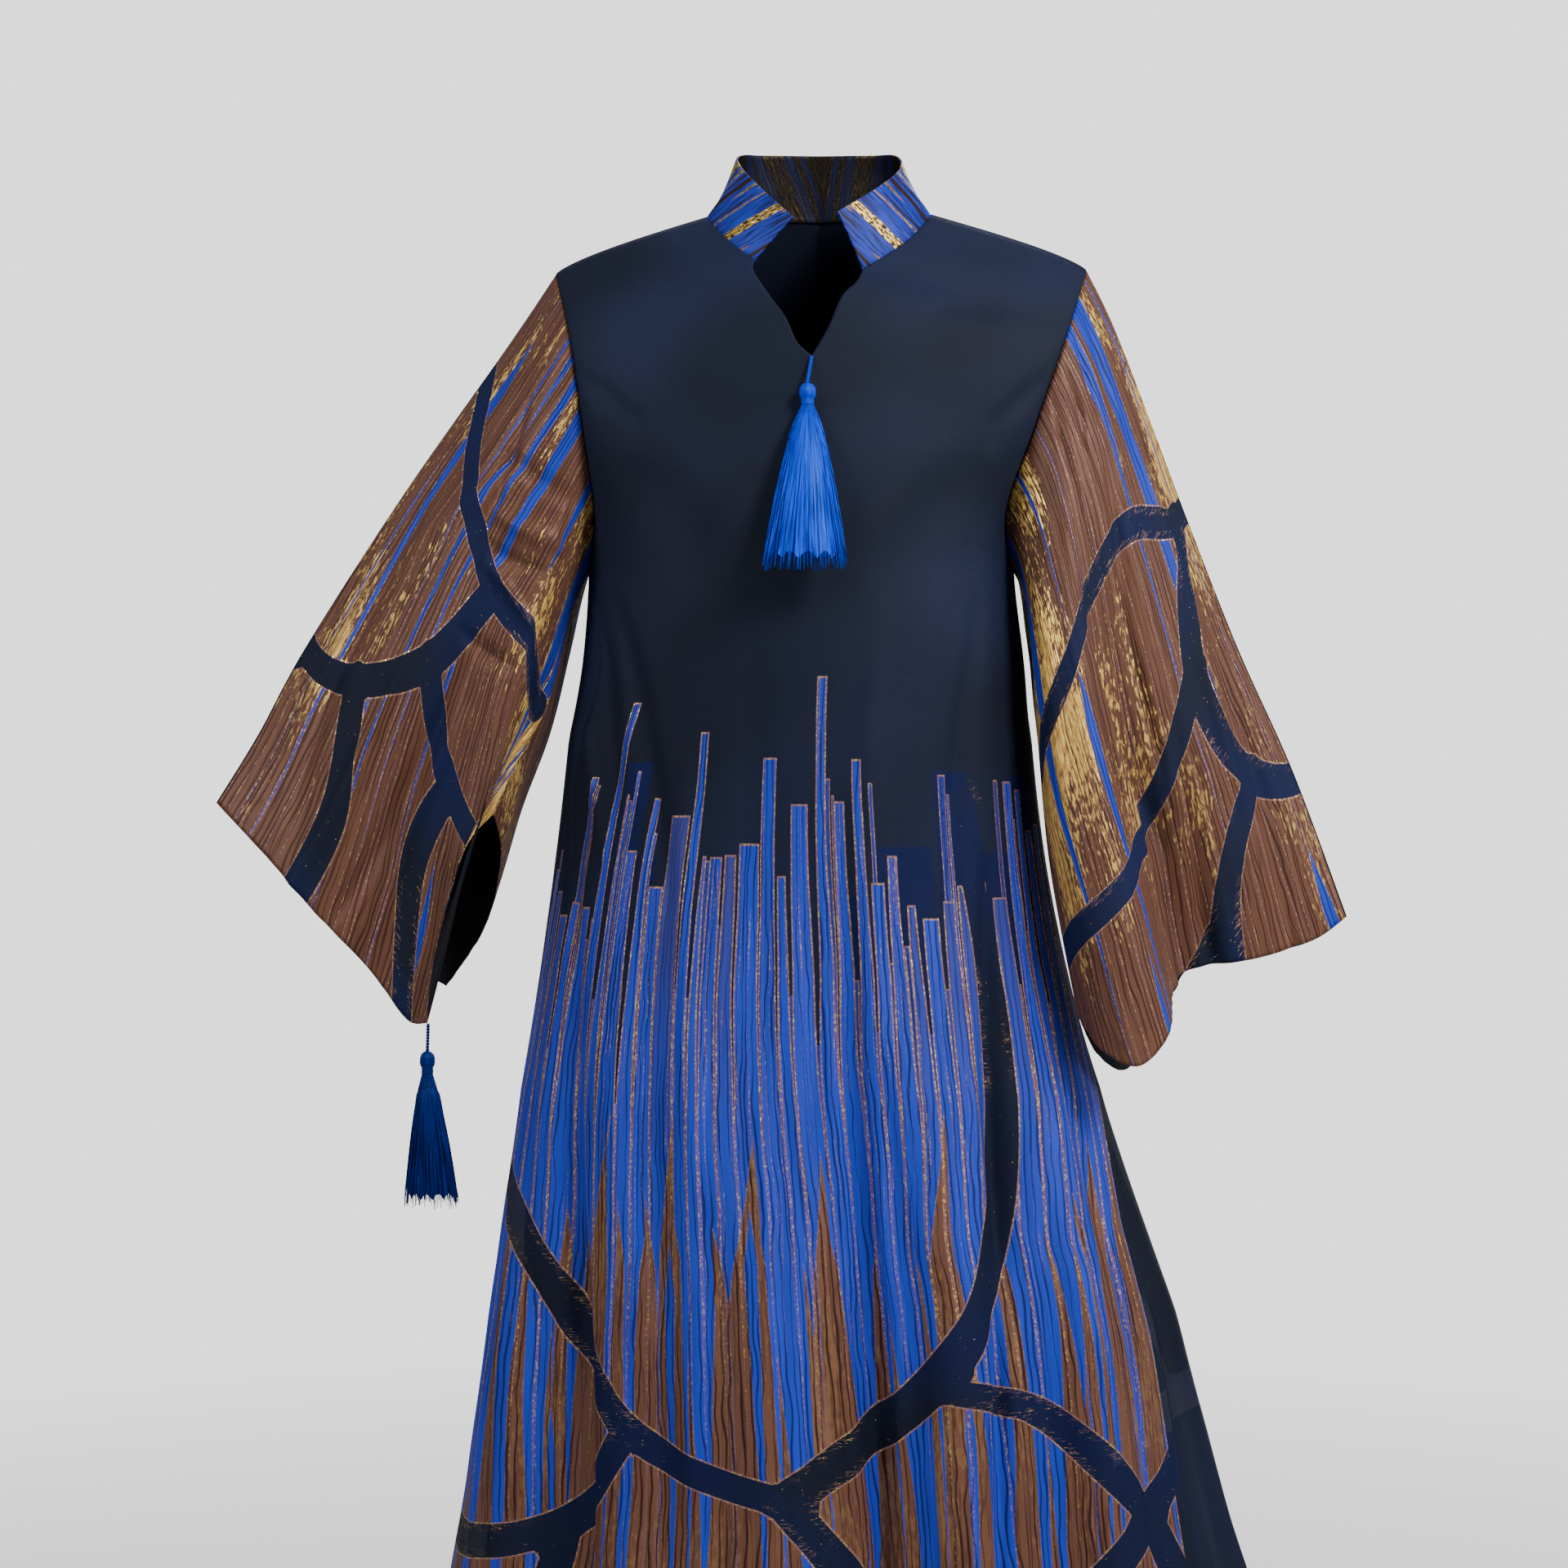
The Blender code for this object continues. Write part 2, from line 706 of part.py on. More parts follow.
def tassel_cord(name, size):
    """The short cord from the cloth's edge to the tassel's head."""
    start, end = Vector(size.cord_top), Vector(size.head_top)
    end += (start - end).normalized() * CORD_RELIEF
    run = end - start
    mesh = bmesh.new()
    bmesh.ops.create_cone(
        mesh,
        cap_ends=True,
        segments=6,
        radius1=CORD_RADIUS * MM,
        radius2=CORD_RADIUS * MM,
        depth=run.length * MM,
    )
    turn = Vector((0.0, 0.0, 1.0)).rotation_difference(run).to_matrix()
    bmesh.ops.rotate(mesh, verts=mesh.verts, matrix=turn)
    bmesh.ops.translate(mesh, verts=mesh.verts, vec=(start + run / 2) * MM)
    return place_object(name, mesh, "tassel_blue")


def tassel(name, size):
    """A tassel: a wound head, with locks of thread extruded from its foot that part as they fall."""
    mesh = bmesh.new()
    foot_radius = size.head_radius * TASSEL_HEAD_PROFILE[-1][1]
    bmesh.ops.create_grid(mesh, x_segments=TASSEL_GRID, y_segments=TASSEL_GRID, size=1.0)
    for vert in mesh.verts:
        x, y = vert.co.x, vert.co.y
        vert.co.x = foot_radius * x * math.sqrt(1.0 - y * y / 2.0)
        vert.co.y = foot_radius * y * math.sqrt(1.0 - x * x / 2.0)
    bmesh.ops.reverse_faces(mesh, faces=mesh.faces)
    cells = list(mesh.faces)
    rim = [edge for edge in mesh.edges if edge.is_boundary]
    for share, radius in reversed(TASSEL_HEAD_PROFILE[:-1]):
        raised = bmesh.ops.extrude_edge_only(mesh, edges=rim)["geom"]
        rim = [item for item in raised if isinstance(item, bmesh.types.BMEdge)]
        for vert in {vert for edge in rim for vert in edge.verts}:
            flat = Vector((vert.co.x, vert.co.y, 0.0)).normalized() * radius * size.head_radius
            vert.co = (flat.x, flat.y, size.head_length * (1.0 - share))
    bmesh.ops.holes_fill(mesh, edges=rim, sides=0)
    bmesh.ops.inset_individual(mesh, faces=cells, thickness=LOCK_INSET)
    ends = bmesh.ops.extrude_discrete_faces(mesh, faces=cells)["faces"]
    foot = Vector(size.head_top) - Vector((0.0, 0.0, size.head_length))
    fall = Vector(size.skirt_end) - foot
    for number, face in enumerate(ends):
        middle = face.calc_center_median()
        ragged = 1.0 - LOCK_RAGGED * (0.5 + 0.5 * math.sin(7.3 * number))
        for vert in face.verts:
            across = (vert.co - middle) * LOCK_SPREAD
            spread_x = middle.x / foot_radius * size.half_width
            spread_y = middle.y / foot_radius * size.half_depth
            vert.co = Vector((spread_x, spread_y, 0.0)) + across + fall * ragged
    bmesh.ops.translate(mesh, verts=mesh.verts, vec=foot)
    bmesh.ops.scale(mesh, verts=mesh.verts, vec=(MM, MM, MM))
    bmesh.ops.recalc_face_normals(mesh, faces=mesh.faces)
    return place_object(name, mesh, "tassel_blue")


def main():
    remove_everything()
    front, back = front_sheet(), back_sheet()
    sleeves = [
        sleeve_sheet(
            "sleeve_left_front", ARMHOLE_FRONT_LEFT, HEM_FRONT_LEFT, OVERARM_LEFT, UNDERARM_LEFT,
            FOLDS_FRONT_LEFT, SLEEVE_FRONT_BULGE, -1,
        ),
        sleeve_sheet(
            "sleeve_left_back", ARMHOLE_BACK_LEFT, HEM_BACK_LEFT, OVERARM_LEFT, UNDERARM_LEFT,
            FOLDS_BACK_LEFT, SLEEVE_BACK_BULGE, 1,
        ),
        sleeve_sheet(
            "sleeve_right_front", ARMHOLE_FRONT_RIGHT, HEM_FRONT_RIGHT, OVERARM_RIGHT, UNDERARM_RIGHT,
            FOLDS_FRONT_RIGHT, SLEEVE_FRONT_BULGE, -1,
        ),
        sleeve_sheet(
            "sleeve_right_back", ARMHOLE_BACK_RIGHT, HEM_BACK_RIGHT, OVERARM_RIGHT, UNDERARM_RIGHT,
            FOLDS_BACK_RIGHT, SLEEVE_BACK_BULGE, 1,
        ),
    ]
    outer = [front, back, *sleeves]
    seams = Seams(outer)
    for sheet in outer:
        build_wall(sheet, seams)
    for sheet in (lining_sheet(seams), collar_sheet()):
        build_wall(sheet, Seams([sheet]))
    tassel("chest_tassel", CHEST_TASSEL)
    tassel_cord("chest_tassel_cord", CHEST_TASSEL)
    tassel("sleeve_tassel", SLEEVE_TASSEL)
    tassel_cord("sleeve_tassel_cord", SLEEVE_TASSEL)


main()
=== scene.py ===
"""Looks of a floor-length abaya in worn form: cloth shells, jacquard and sheer finishes, collar and tassels.

The tables repeat the sizes of the garment's solids, in millimetres; meshes are made in metres.
The origin lies between the neck ends of the shoulder seams, +Z is up and the front faces -Y.
Left and right are those of someone who looks at the front. Bearing 90 is the centre front, -90 the back.
"""

import logging
import math
from collections import namedtuple
from collections.abc import Callable
from dataclasses import dataclass, field
from enum import Enum

import bmesh
import bpy
import numpy as np
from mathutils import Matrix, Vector, noise


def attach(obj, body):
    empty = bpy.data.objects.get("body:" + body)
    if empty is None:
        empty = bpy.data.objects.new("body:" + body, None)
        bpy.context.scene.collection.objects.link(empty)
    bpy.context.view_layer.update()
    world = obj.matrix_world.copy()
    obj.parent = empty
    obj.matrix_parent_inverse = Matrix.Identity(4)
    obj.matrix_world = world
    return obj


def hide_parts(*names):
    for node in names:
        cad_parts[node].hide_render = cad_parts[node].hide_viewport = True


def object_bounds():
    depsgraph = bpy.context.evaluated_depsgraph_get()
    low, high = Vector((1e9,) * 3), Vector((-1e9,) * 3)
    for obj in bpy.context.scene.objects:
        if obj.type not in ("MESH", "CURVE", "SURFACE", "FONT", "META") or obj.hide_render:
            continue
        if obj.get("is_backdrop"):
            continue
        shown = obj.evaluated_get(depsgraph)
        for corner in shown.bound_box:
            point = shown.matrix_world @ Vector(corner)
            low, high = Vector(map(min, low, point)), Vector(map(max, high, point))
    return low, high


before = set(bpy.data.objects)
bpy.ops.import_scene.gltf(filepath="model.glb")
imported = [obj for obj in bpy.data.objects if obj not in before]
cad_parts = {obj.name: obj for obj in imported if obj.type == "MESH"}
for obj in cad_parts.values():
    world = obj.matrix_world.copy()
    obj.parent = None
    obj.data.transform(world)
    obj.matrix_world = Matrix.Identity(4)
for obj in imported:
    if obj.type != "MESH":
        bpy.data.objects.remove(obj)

LOG = logging.getLogger("abaya")
MM = 0.001

HEM = -1430.0
UNDERARM = -288.0
LINING_TOP = -312.0
LINING_HEM = -1385.0
SLIP_EASE_LENGTH = 170.0
SLIP_INSET = 6.5
SHOULDER_CROWN = 5.0
V_FOOT_SHARE = 5 / 12
NECK_CORNER_SHARE = 9 / 12
BACK_NECK_SHARE = 8 / 12
HEM_CORNER_SHARE = 7 / 12
COLLAR_FRONT_SHARE = 0.2
COLLAR_RISE = -1.0
COLLAR_BELLY = 1.1
COLLAR_MIDDLE = (3.0, 10.0, 0.0)
SKIRT_ROWS = 108
FAR = 1e3
SNAP = 1e-6
WELD = 0.00005
SEAM_EASE = 14.0
SEAM_WIDTH = 2.2
FOLD_ONSET = 1.15
SLEEVE_FOLD_ONSET = 1.3
CREASE_TAPER = 0.7
CREASE_WIDTHS = (0.55, 0.45)
BAND_REACH = 60.0
BAND_STEPS = 8
BAND_WIDTHS = (0.92, 0.12, 5.0)
WOVEN_THROUGHOUT = 50.0
CRINKLE_TOP, CRINKLE_RUN = -430.0, 240.0
PLAIN_TOP, PLAIN_RUN, PLAIN_REACH = -300.0, 900.0, 60.0

Level = namedtuple("Level", "height left right front back")
SeamPlace = namedtuple("SeamPlace", "height left right")
Fold = namedtuple("Fold", "start bearing_high bearing_hem half_width depth")
SleeveFold = namedtuple("SleeveFold", "across_high across_low from_share half_width depth")
Crease = namedtuple("Crease", "from_across from_height to_across to_height half_width depth bow")
Band = namedtuple("Band", "points width")
Ripple = namedtuple("Ripple", "wide tall shift weight")


def rows_of(kind: type, *rows: tuple) -> tuple:
    """A table whose rows have named columns."""
    return tuple(kind(*row) for row in rows)


# Sections of the body and the slip, places of the side seams, and the large folds
BODY = rows_of(
    Level,
    (-288, -182, 160, 120, 100), (-360, -187, 168, 121, 102), (-420, -198, 174, 122, 108),
    (-556, -214, 192, 129, 124), (-700, -236, 229, 150, 150), (-880, -262, 290, 178, 182),
    (-1088, -293, 349, 206, 214), (-1430, -346, 437, 250, 262),
)
SLIP = rows_of(
    Level,
    (-288, -176, 154, 112, 93), (-480, -192, 168, 112, 100), (-700, -216, 196, 126, 124),
    (-880, -240, 226, 146, 146), (-1088, -262, 250, 166, 168), (-1430, -296, 288, 192, 200),
)
SIDE_SEAMS = rows_of(
    SeamPlace,
    (-288, 0, 0), (-350, 24, 0), (-430, 20, 0), (-560, 6, 0), (-680, 0, 6), (-800, 0, 21),
    (-1088, 2, 34), (-1430, 6, 40),
)
FOLDS = rows_of(
    Fold,
    (-440, 80, 86, 10, -38), (-520, 50, 66, 8, -26), (-540, 141, 139, 9, -27), (-600, 111, 112, 15, 17),
    (-560, 66, 76, 7, 12), (-640, 40, 46, 12, 14), (-640, 158, 158, 10, 12), (-600, 14, 18, 8, -16),
    (-420, -64, -60, 10, -34), (-520, -92, -90, 11, 20), (-440, -118, -120, 10, -34),
    (-560, -36, -34, 10, 18), (-560, -146, -148, 10, 18), (-600, -14, -12, 9, -20),
    (-600, -166, -168, 8, -18),
)

# The neck and the middle lines
CENTRE_FRONT = [(-11, -120, -288), (-8, -118, -240), (-5, -112, -180), (-3.5, -103, -128)]
V_EDGE_LEFT = (
    (-3.5, -103, -128), (-15, -99, -117), (-23.4, -91, -97), (-34, -82, -81), (-48.5, -67, -57),
    (-48.5, -61, -47),
)
V_EDGE_RIGHT = [(-3.5, -103, -128), (9.5, -96, -104), (19.8, -86, -79), (31, -77, -67), (37, -62, -54)]
NECK_LEFT = [(-48.5, -61, -47), (-72, -38, -24), (-88, 0, 0)]
NECK_RIGHT = [(37, -62, -54), (73, -40, -27), (94, 0, 2)]
NECK_BACK_LEFT = [(3, 72, 10), (-46, 60, 9), (-77, 34, 6), (-88, 0, 0)]
NECK_BACK_RIGHT = [(3, 72, 10), (52, 60, 10), (83, 34, 7), (94, 0, 2)]
CENTRE_BACK = [(-11, 100, -288), (-6, 108, -190), (0, 100, -80), (3, 72, 10)]

# The armholes and the collar's top edge
ARMHOLE_FRONT_LEFT = (
    (-182, 0, -288), (-175, -36, -243), (-182, -58, -183), (-194, -50, -106), (-209, 0, -47),
)
ARMHOLE_FRONT_RIGHT = (
    (160, 0, -288), (150, -38, -243), (171, -60, -178), (197, -50, -106), (219, 0, -44),
)
ARMHOLE_BACK_LEFT = (
    (-182, 0, -288), (-172, 42, -240), (-176, 62, -175), (-190, 50, -100), (-209, 0, -47),
)
ARMHOLE_BACK_RIGHT = [(160, 0, -288), (152, 42, -240), (168, 62, -175), (194, 50, -100), (219, 0, -44)]
COLLAR_TOP = (
    (-18, -73, -15), (-38, -46, 8), (-60, -5, 39), (-62, 26, 55), (-42, 52, 61), (3, 63, 63),
    (47, 52, 61), (67, 26, 55), (69, -5, 38), (50, -42, 15), (17, -73, -11),
)

# Edges and large folds of the sleeves
OVERARM_LEFT = (
    (-209, 0, -47), (-248, 0, -105), (-333, 6, -224), (-413, 12, -347), (-451, 12, -417),
    (-484, 8, -472),
)
UNDERARM_LEFT = (
    (-182, 0, -288), (-195, -14, -322), (-212, -30, -393), (-236, -48, -442), (-252, -62, -480),
)
HEM_FRONT_LEFT = (
    [
        (-484, 8, -472), (-433, -22, -520), (-395, -34, -561), (-360, -30, -599), (-325, -40, -642),
        (-306, -46, -645),
    ],
    [(-306, -46, -645), (-297, -52, -582), (-276, -66, -510), (-252, -62, -480)],
)
HEM_BACK_LEFT = (
    [(-484, 8, -472), (-428, 44, -525), (-362, 48, -590), (-300, 24, -622)],
    [(-300, 24, -622), (-266, 8, -572), (-250, -26, -516), (-252, -62, -480)],
)
OVERARM_RIGHT = (
    (219, 0, -44), (245, 0, -99), (298, 4, -237), (342, 8, -347), (387, 10, -447), (430, 8, -564),
)
UNDERARM_RIGHT = (
    (160, 0, -288), (169, -14, -312), (171, -34, -350), (174, -50, -419), (182, -64, -520),
    (202, -76, -634),
)
HEM_FRONT_RIGHT = (
    [(430, 8, -564), (402, -2, -582), (354, -16, -596), (296, -30, -606), (279, -60, -626)],
    [(279, -60, -626), (270, -94, -650), (245, -114, -672), (217, -104, -660), (202, -76, -634)],
)
HEM_BACK_RIGHT = (
    [(430, 8, -564), (378, 34, -582), (318, 34, -598), (272, 2, -652)],
    [(272, 2, -652), (246, -34, -683), (220, -60, -668), (202, -76, -634)],
)
FOLDS_FRONT_LEFT = rows_of(
    SleeveFold,
    (0.40, 0.48, 0.35, 0.10, -11), (0.80, 0.62, 0.12, 0.09, 9), (0.86, 0.90, 0.10, 0.07, -8),
)
FOLDS_BACK_LEFT = rows_of(
    SleeveFold,
    (0.5, 0.45, 0.2, 0.14, 10), (0.78, 0.72, 0.2, 0.10, -8),
)
FOLDS_FRONT_RIGHT = rows_of(
    SleeveFold,
    (0.45, 0.50, 0.12, 0.08, -14), (0.62, 0.72, 0.2, 0.12, 10),
)
FOLDS_BACK_RIGHT = rows_of(
    SleeveFold,
    (0.5, 0.42, 0.2, 0.14, 12), (0.75, 0.68, 0.2, 0.10, -8),
)

# Dark bands, on the cloth
FRONT_BANDS = rows_of(
    Band,
    ([(-430, -690), (-300, -745), (-220, -830), (-140, -940), (-40, -985)], 25),
    ([(-40, -985), (66, -905), (128, -800), (142, -650), (132, -470)], 26),
    ([(-40, -985), (14, -1090), (-18, -1210), (30, -1330), (10, -1470)], 25),
    ([(440, -895), (310, -935), (222, -1010), (140, -1082), (14, -1090)], 26),
    ([(66, -905), (150, -932), (222, -1010)], 23),
    ([(-440, -1030), (-300, -1046), (-196, -1020), (-140, -940)], 25),
    ([(-196, -1020), (-214, -1150), (-178, -1300), (-214, -1470)], 25),
    ([(222, -1010), (262, -1130), (240, -1280), (280, -1470)], 25),
    ([(-214, -1150), (-110, -1206), (-18, -1210)], 23), ([(240, -1280), (140, -1318), (30, -1330)], 23),
    ([(440, -620), (330, -700), (276, -810), (310, -935)], 24),
)
BACK_BANDS = rows_of(
    Band,
    ([(-430, -900), (-280, -960), (-140, -1080), (-120, -1220), (-170, -1460)], 26),
    ([(-140, -1080), (-60, -930), (60, -850), (178, -800), (222, -660), (190, -420)], 26),
    ([(430, -880), (300, -985), (200, -1090), (60, -1180), (-120, -1220)], 26),
    ([(200, -1090), (250, -1230), (220, -1460)], 24), ([(60, -1180), (90, -1310), (40, -1460)], 23),
    ([(60, -850), (110, -960), (200, -1090)], 22),
    ([(-280, -960), (-244, -850), (-262, -700), (-210, -430)], 22),
)
LEFT_SLEEVE_BANDS = rows_of(
    Band,
    ([(290, -128), (165, -176), (70, -150), (0, -96), (-90, -52), (-170, -60)], 27),
    ([(165, -176), (128, -270), (66, -338), (0, -362), (-100, -330), (-190, -322), (-300, -334)], 28),
    ([(128, -270), (188, -318), (320, -334)], 26), ([(66, -338), (92, -430), (70, -600)], 26),
    ([(0, -362), (-52, -450), (-40, -620)], 26), ([(188, -318), (172, -408), (214, -560)], 25),
    ([(-100, -330), (-140, -210), (-250, -150)], 26),
)
RIGHT_SLEEVE_BANDS = rows_of(
    Band,
    ([(-300, -92), (-150, -128), (-60, -196), (20, -204), (120, -150), (300, -176)], 27),
    ([(20, -204), (64, -300), (40, -404), (-30, -452), (-130, -420), (-320, -452)], 28),
    ([(64, -300), (150, -340), (320, -318)], 27), ([(40, -404), (96, -470), (100, -680)], 26),
    ([(-30, -452), (-40, -540), (-90, -700)], 26), ([(-60, -196), (-96, -300), (-130, -420)], 26),
    ([(96, -470), (190, -500), (330, -470)], 26),
)

# Creases listed one by one, on the cloth
FRONT_CREASES = rows_of(
    Crease,
    (34, -470, 16, -1450, 8, -9.0, 5), (48, -500, 32, -1440, 9, 5.5, 5),
    (12, -520, -8, -1440, 9, 4.5, 5), (152, -500, 100, -1300, 11, -12.0, 6),
    (88, -540, 58, -1440, 22, 9.0, 6), (-44, -560, -66, -1440, 24, 7.5, -6),
    (-122, -540, -152, -1440, 17, -8.0, -6), (206, -600, 196, -1440, 22, 9.0, 6),
    (-268, -680, -322, -1440, 22, 8.0, -6), (-188, -520, -236, -1400, 11, -12.0, -6),
    (-150, -205, -60, -330, 24, -3.2, 10), (-120, -190, -20, -300, 20, 2.2, 8),
    (140, -200, 62, -330, 22, -3.0, -9), (112, -185, 26, -290, 19, 2.0, -7),
    (-165, -300, -104, -560, 9, -4.6, 12), (-196, -310, -160, -520, 6, 5.8, -8),
    (-182, -330, -150, -480, 7, -4.0, 6), (150, -300, 122, -600, 11, -4.6, -10),
    (-40, -330, -60, -760, 16, -4.6, 12), (56, -340, 80, -820, 15, 5.2, -14),
    (-92, -420, -120, -980, 12, 5.8, 14), (10, -480, 26, -1010, 10, -5.8, -10),
    (-212, -600, -262, -1200, 9, -5.2, 12), (-300, -760, -345, -1400, 11, 5.2, -12),
    (190, -560, 262, -1180, 10, -6.3, 12), (276, -740, 360, -1380, 11, 5.8, -14),
    (120, -640, 140, -1180, 7, 4.6, 9), (-30, -860, -40, -1430, 9, 4.6, -9),
    (-160, -900, -186, -1440, 7, -4.6, 8), (70, -1000, 88, -1440, 7, -5.2, -7),
    (-70, -70, -130, -62, 9, -1.8, 5), (118, -80, 62, -72, 10, -1.8, -5),
    (-176, -118, -140, -190, 9, -2.4, 6), (182, -112, 150, -196, 9, -2.6, -6),
)
BACK_CREASES = rows_of(
    Crease,
    (-150, -200, -60, -340, 22, -4.5, 10), (140, -190, 60, -330, 20, -4.5, -9),
    (-30, -120, -16, -420, 26, -4.0, 9), (20, -330, 40, -800, 15, 5.2, -12),
    (-90, -400, -110, -960, 12, 5.8, 13), (96, -420, 130, -1020, 11, -5.8, -12),
    (-180, -560, -230, -1240, 10, -5.8, 12), (-290, -700, -340, -1400, 11, 5.2, -10),
    (200, -540, 260, -1200, 10, 5.8, 12), (300, -760, 380, -1400, 11, -5.8, -12),
    (-40, -800, -60, -1440, 9, -5.2, -9), (60, -980, 70, -1440, 7, 4.6, 8),
    (-140, -1000, -160, -1440, 7, 4.6, -7), (-170, -110, -140, -190, 9, -2.4, 6),
    (176, -110, 148, -196, 9, -2.4, -6),
)
LEFT_FRONT_CREASES = rows_of(
    Crease,
    (70, -60, 120, -240, 9, -4.9, 9), (120, -90, 40, -260, 11, 4.9, -8),
    (186, -30, 70, -120, 8, -4.5, 7), (196, -62, 96, -150, 7, 5.0, 6),
    (188, -104, 110, -168, 6, -5.3, 5), (205, -150, 120, -176, 6, 5.0, -5),
    (200, -190, 130, -230, 6, -4.8, 4), (40, -200, 70, -470, 10, -4.8, -10),
    (150, -240, 142, -520, 9, -7.7, 12), (176, -260, 190, -470, 8, 6.3, -7),
    (104, -280, 96, -560, 8, 5.0, 7),
)
LEFT_BACK_CREASES = rows_of(
    Crease,
    (-60, -60, -110, -260, 10, -4.9, 8), (-170, -40, -80, -130, 8, -4.5, -7),
    (-186, -90, -100, -160, 7, 4.8, -6), (-196, -150, -116, -190, 7, -4.8, 5),
    (-60, -200, -80, -480, 10, 5.6, 9), (-140, -240, -150, -500, 10, -6.3, -10),
)
RIGHT_FRONT_CREASES = rows_of(
    Crease,
    (40, -10, 52, -90, 6, -3.1, 3), (70, -8, 84, -80, 5, -3.4, 3), (100, -6, 112, -74, 5, -3.1, -3),
    (128, -6, 138, -66, 5, -2.8, 3), (84, -90, 120, -330, 10, -5.3, 10),
    (40, -120, 66, -420, 10, 5.6, -9), (150, -120, 140, -380, 9, -5.0, 8),
    (170, -160, 176, -430, 8, 5.0, -7), (96, -300, 130, -600, 9, -5.9, 9),
    (30, -300, 70, -600, 10, -4.8, -8), (160, -420, 190, -640, 8, 5.3, 6),
)
RIGHT_BACK_CREASES = rows_of(
    Crease,
    (-60, -10, -66, -90, 6, -3.1, 3), (-100, -8, -108, -84, 6, -3.1, -3),
    (-70, -100, -110, -360, 10, -5.3, 10), (-140, -140, -150, -400, 10, 5.0, -8),
    (-50, -280, -90, -580, 10, 5.6, 9), (-150, -400, -180, -660, 8, -5.3, -7),
)
SLIP_CREASES = rows_of(
    Crease,
    (-420, -700, -430, -1380, 16, -3.5, 9), (-250, -640, -236, -1380, 15, 3.5, -8),
    (-80, -700, -96, -1380, 16, -3.0, 8), (90, -660, 100, -1380, 15, 3.5, -9),
    (260, -700, 270, -1380, 16, -3.5, 9), (430, -640, 420, -1380, 15, 3.0, 8),
)
COLLAR_CREASES = rows_of(
    Crease,
    (-60, 4, -30, 34, 9, -0.5, 3), (70, 6, 36, 32, 9, -0.5, -3),
)

# A tassel's wound head, by shares of its length and radius
HEAD_PROFILE = (
    (0.00, 0.22), (0.04, 0.52), (0.14, 0.84), (0.30, 1.00), (0.52, 1.02), (0.66, 0.92), (0.72, 0.74),
    (0.76, 0.80), (0.79, 0.74), (0.83, 0.81), (0.86, 0.74), (0.90, 0.82), (0.93, 0.75), (0.97, 0.82),
    (1.00, 0.72),
)

# Crinkle of the mesh, by ripples to a millimetre
RIPPLES = rows_of(Ripple, (0.13, 0.013, 0.0, 1.0), (0.05, 0.020, 9.0, 0.5))

# Noise of the finishes, by grains to a metre
Grain = namedtuple("Grain", "wide tall shift detail")
SWAY = Grain(9.0, 7.0, 0.0, 1.0)
ROWS = Grain(110.0, 1250.0, 4.4, 1.0)
CLUSTERS = Grain(17.0, 1.0, 0.0, 1.0)
RIDGES = Grain(105.0, 7.5, 0.0, 3.0)
FINE_RIDGES = Grain(520.0, 34.0, 1.3, 2.0)
WAVER = Grain(60.0, 22.0, 3.7, 1.0)
RUNNING = Grain(400.0, 11.0, 0.6, 0.0)
LINES = Grain(190.0, 7.0, 8.1, 3.0)
THREADS = Grain(190.0, 1.4, 9.6, 2.0)
WIDE_AREAS = Grain(6.0, 4.0, 5.2, 1.0)
LONG_AREAS = Grain(34.0, 7.0, 7.7, 1.0)
FLECKS = Grain(430.0, 110.0, 6.1, 2.0)
SPARKS = Grain(700.0, 420.0, 0.0, 1.0)
WEAVE = Grain(160.0, 2600.0, 0.0, 2.0)
SILK_AREAS = Grain(5.0, 6.0, 6.6, 1.0)
FLOAT_AREAS = Grain(9.0, 9.0, 7.2, 1.0)
DUST = Grain(700.0, 700.0, 0.0, 0.0)
COLLAR_SWAY = Grain(30.0, 60.0, 2.0, 1.0)
COLLAR_STRIPES = Grain(92.0, 4.0, 11.3, 1.0)
COLLAR_RIDGES = Grain(420.0, 40.0, 4.0, 3.0)
COLLAR_SPARKS = Grain(700.0, 220.0, 1.0, 2.0)
SATIN_WEAVE = Grain(300.0, 1500.0, 0.0, 2.0)
HAIR = Grain(150.0, 22.0, 0.0, 3.0)

# Rows of upright cells, and the woven figure's heights and widths in metres
CellRow = namedtuple("CellRow", "shift per_metre period half_width", defaults=(0.0, 0.0))
COLUMNS = CellRow(0.0, 68.0)
THIN_COLUMNS = CellRow(5.5, 172.0)
PATCHES = CellRow(2.5, 27.0)
WRINKLES = CellRow(6.9, 205.0)
STREAKS = rows_of(CellRow, (1.1, 37.0, 0.52, 0.0118), (2.3, 71.0, 0.40, 0.0046))
STREAK_REACH = (0.45, 1.30)
COVERED_SHARES = (2.9, 4.6)
THREADS_END = -0.92
SKYLINE_TOP = -0.335
SKYLINE_FOOT = -0.560
COLUMN_GAP = 0.0048
THIN_GAP = 0.0005
FRINGE = 0.0060
FLOAT_REACH = 0.0065
SWAY_REACH = 0.007
WAVER_REACH = 0.0075
WRINKLE_WIDTH = 0.0008
HAIRLINE = (-0.0003, 0.0003)
OUTLINE = (0.0009, 0.0014)
CAP_LINE = (0.0012, 0.0018)
THIN_LINE = (0.0005, 0.0009)
THIN_CAP_LINE = (0.0010, 0.0015)
STREAK_LINE = (0.0002, 0.0006)
STREAK_RISE = (-0.95, -0.60, 0.08, 0.40)
# The gold grows towards the top by the next span, as painted highlight where more light falls.
GOLD_HIGHLIGHT_RISE = (-0.42, -0.12, 0.35, 1.0)
OUTLINE_FADE = (0.05, 0.40)
GOLD_FROM = (0.550, 0.580)

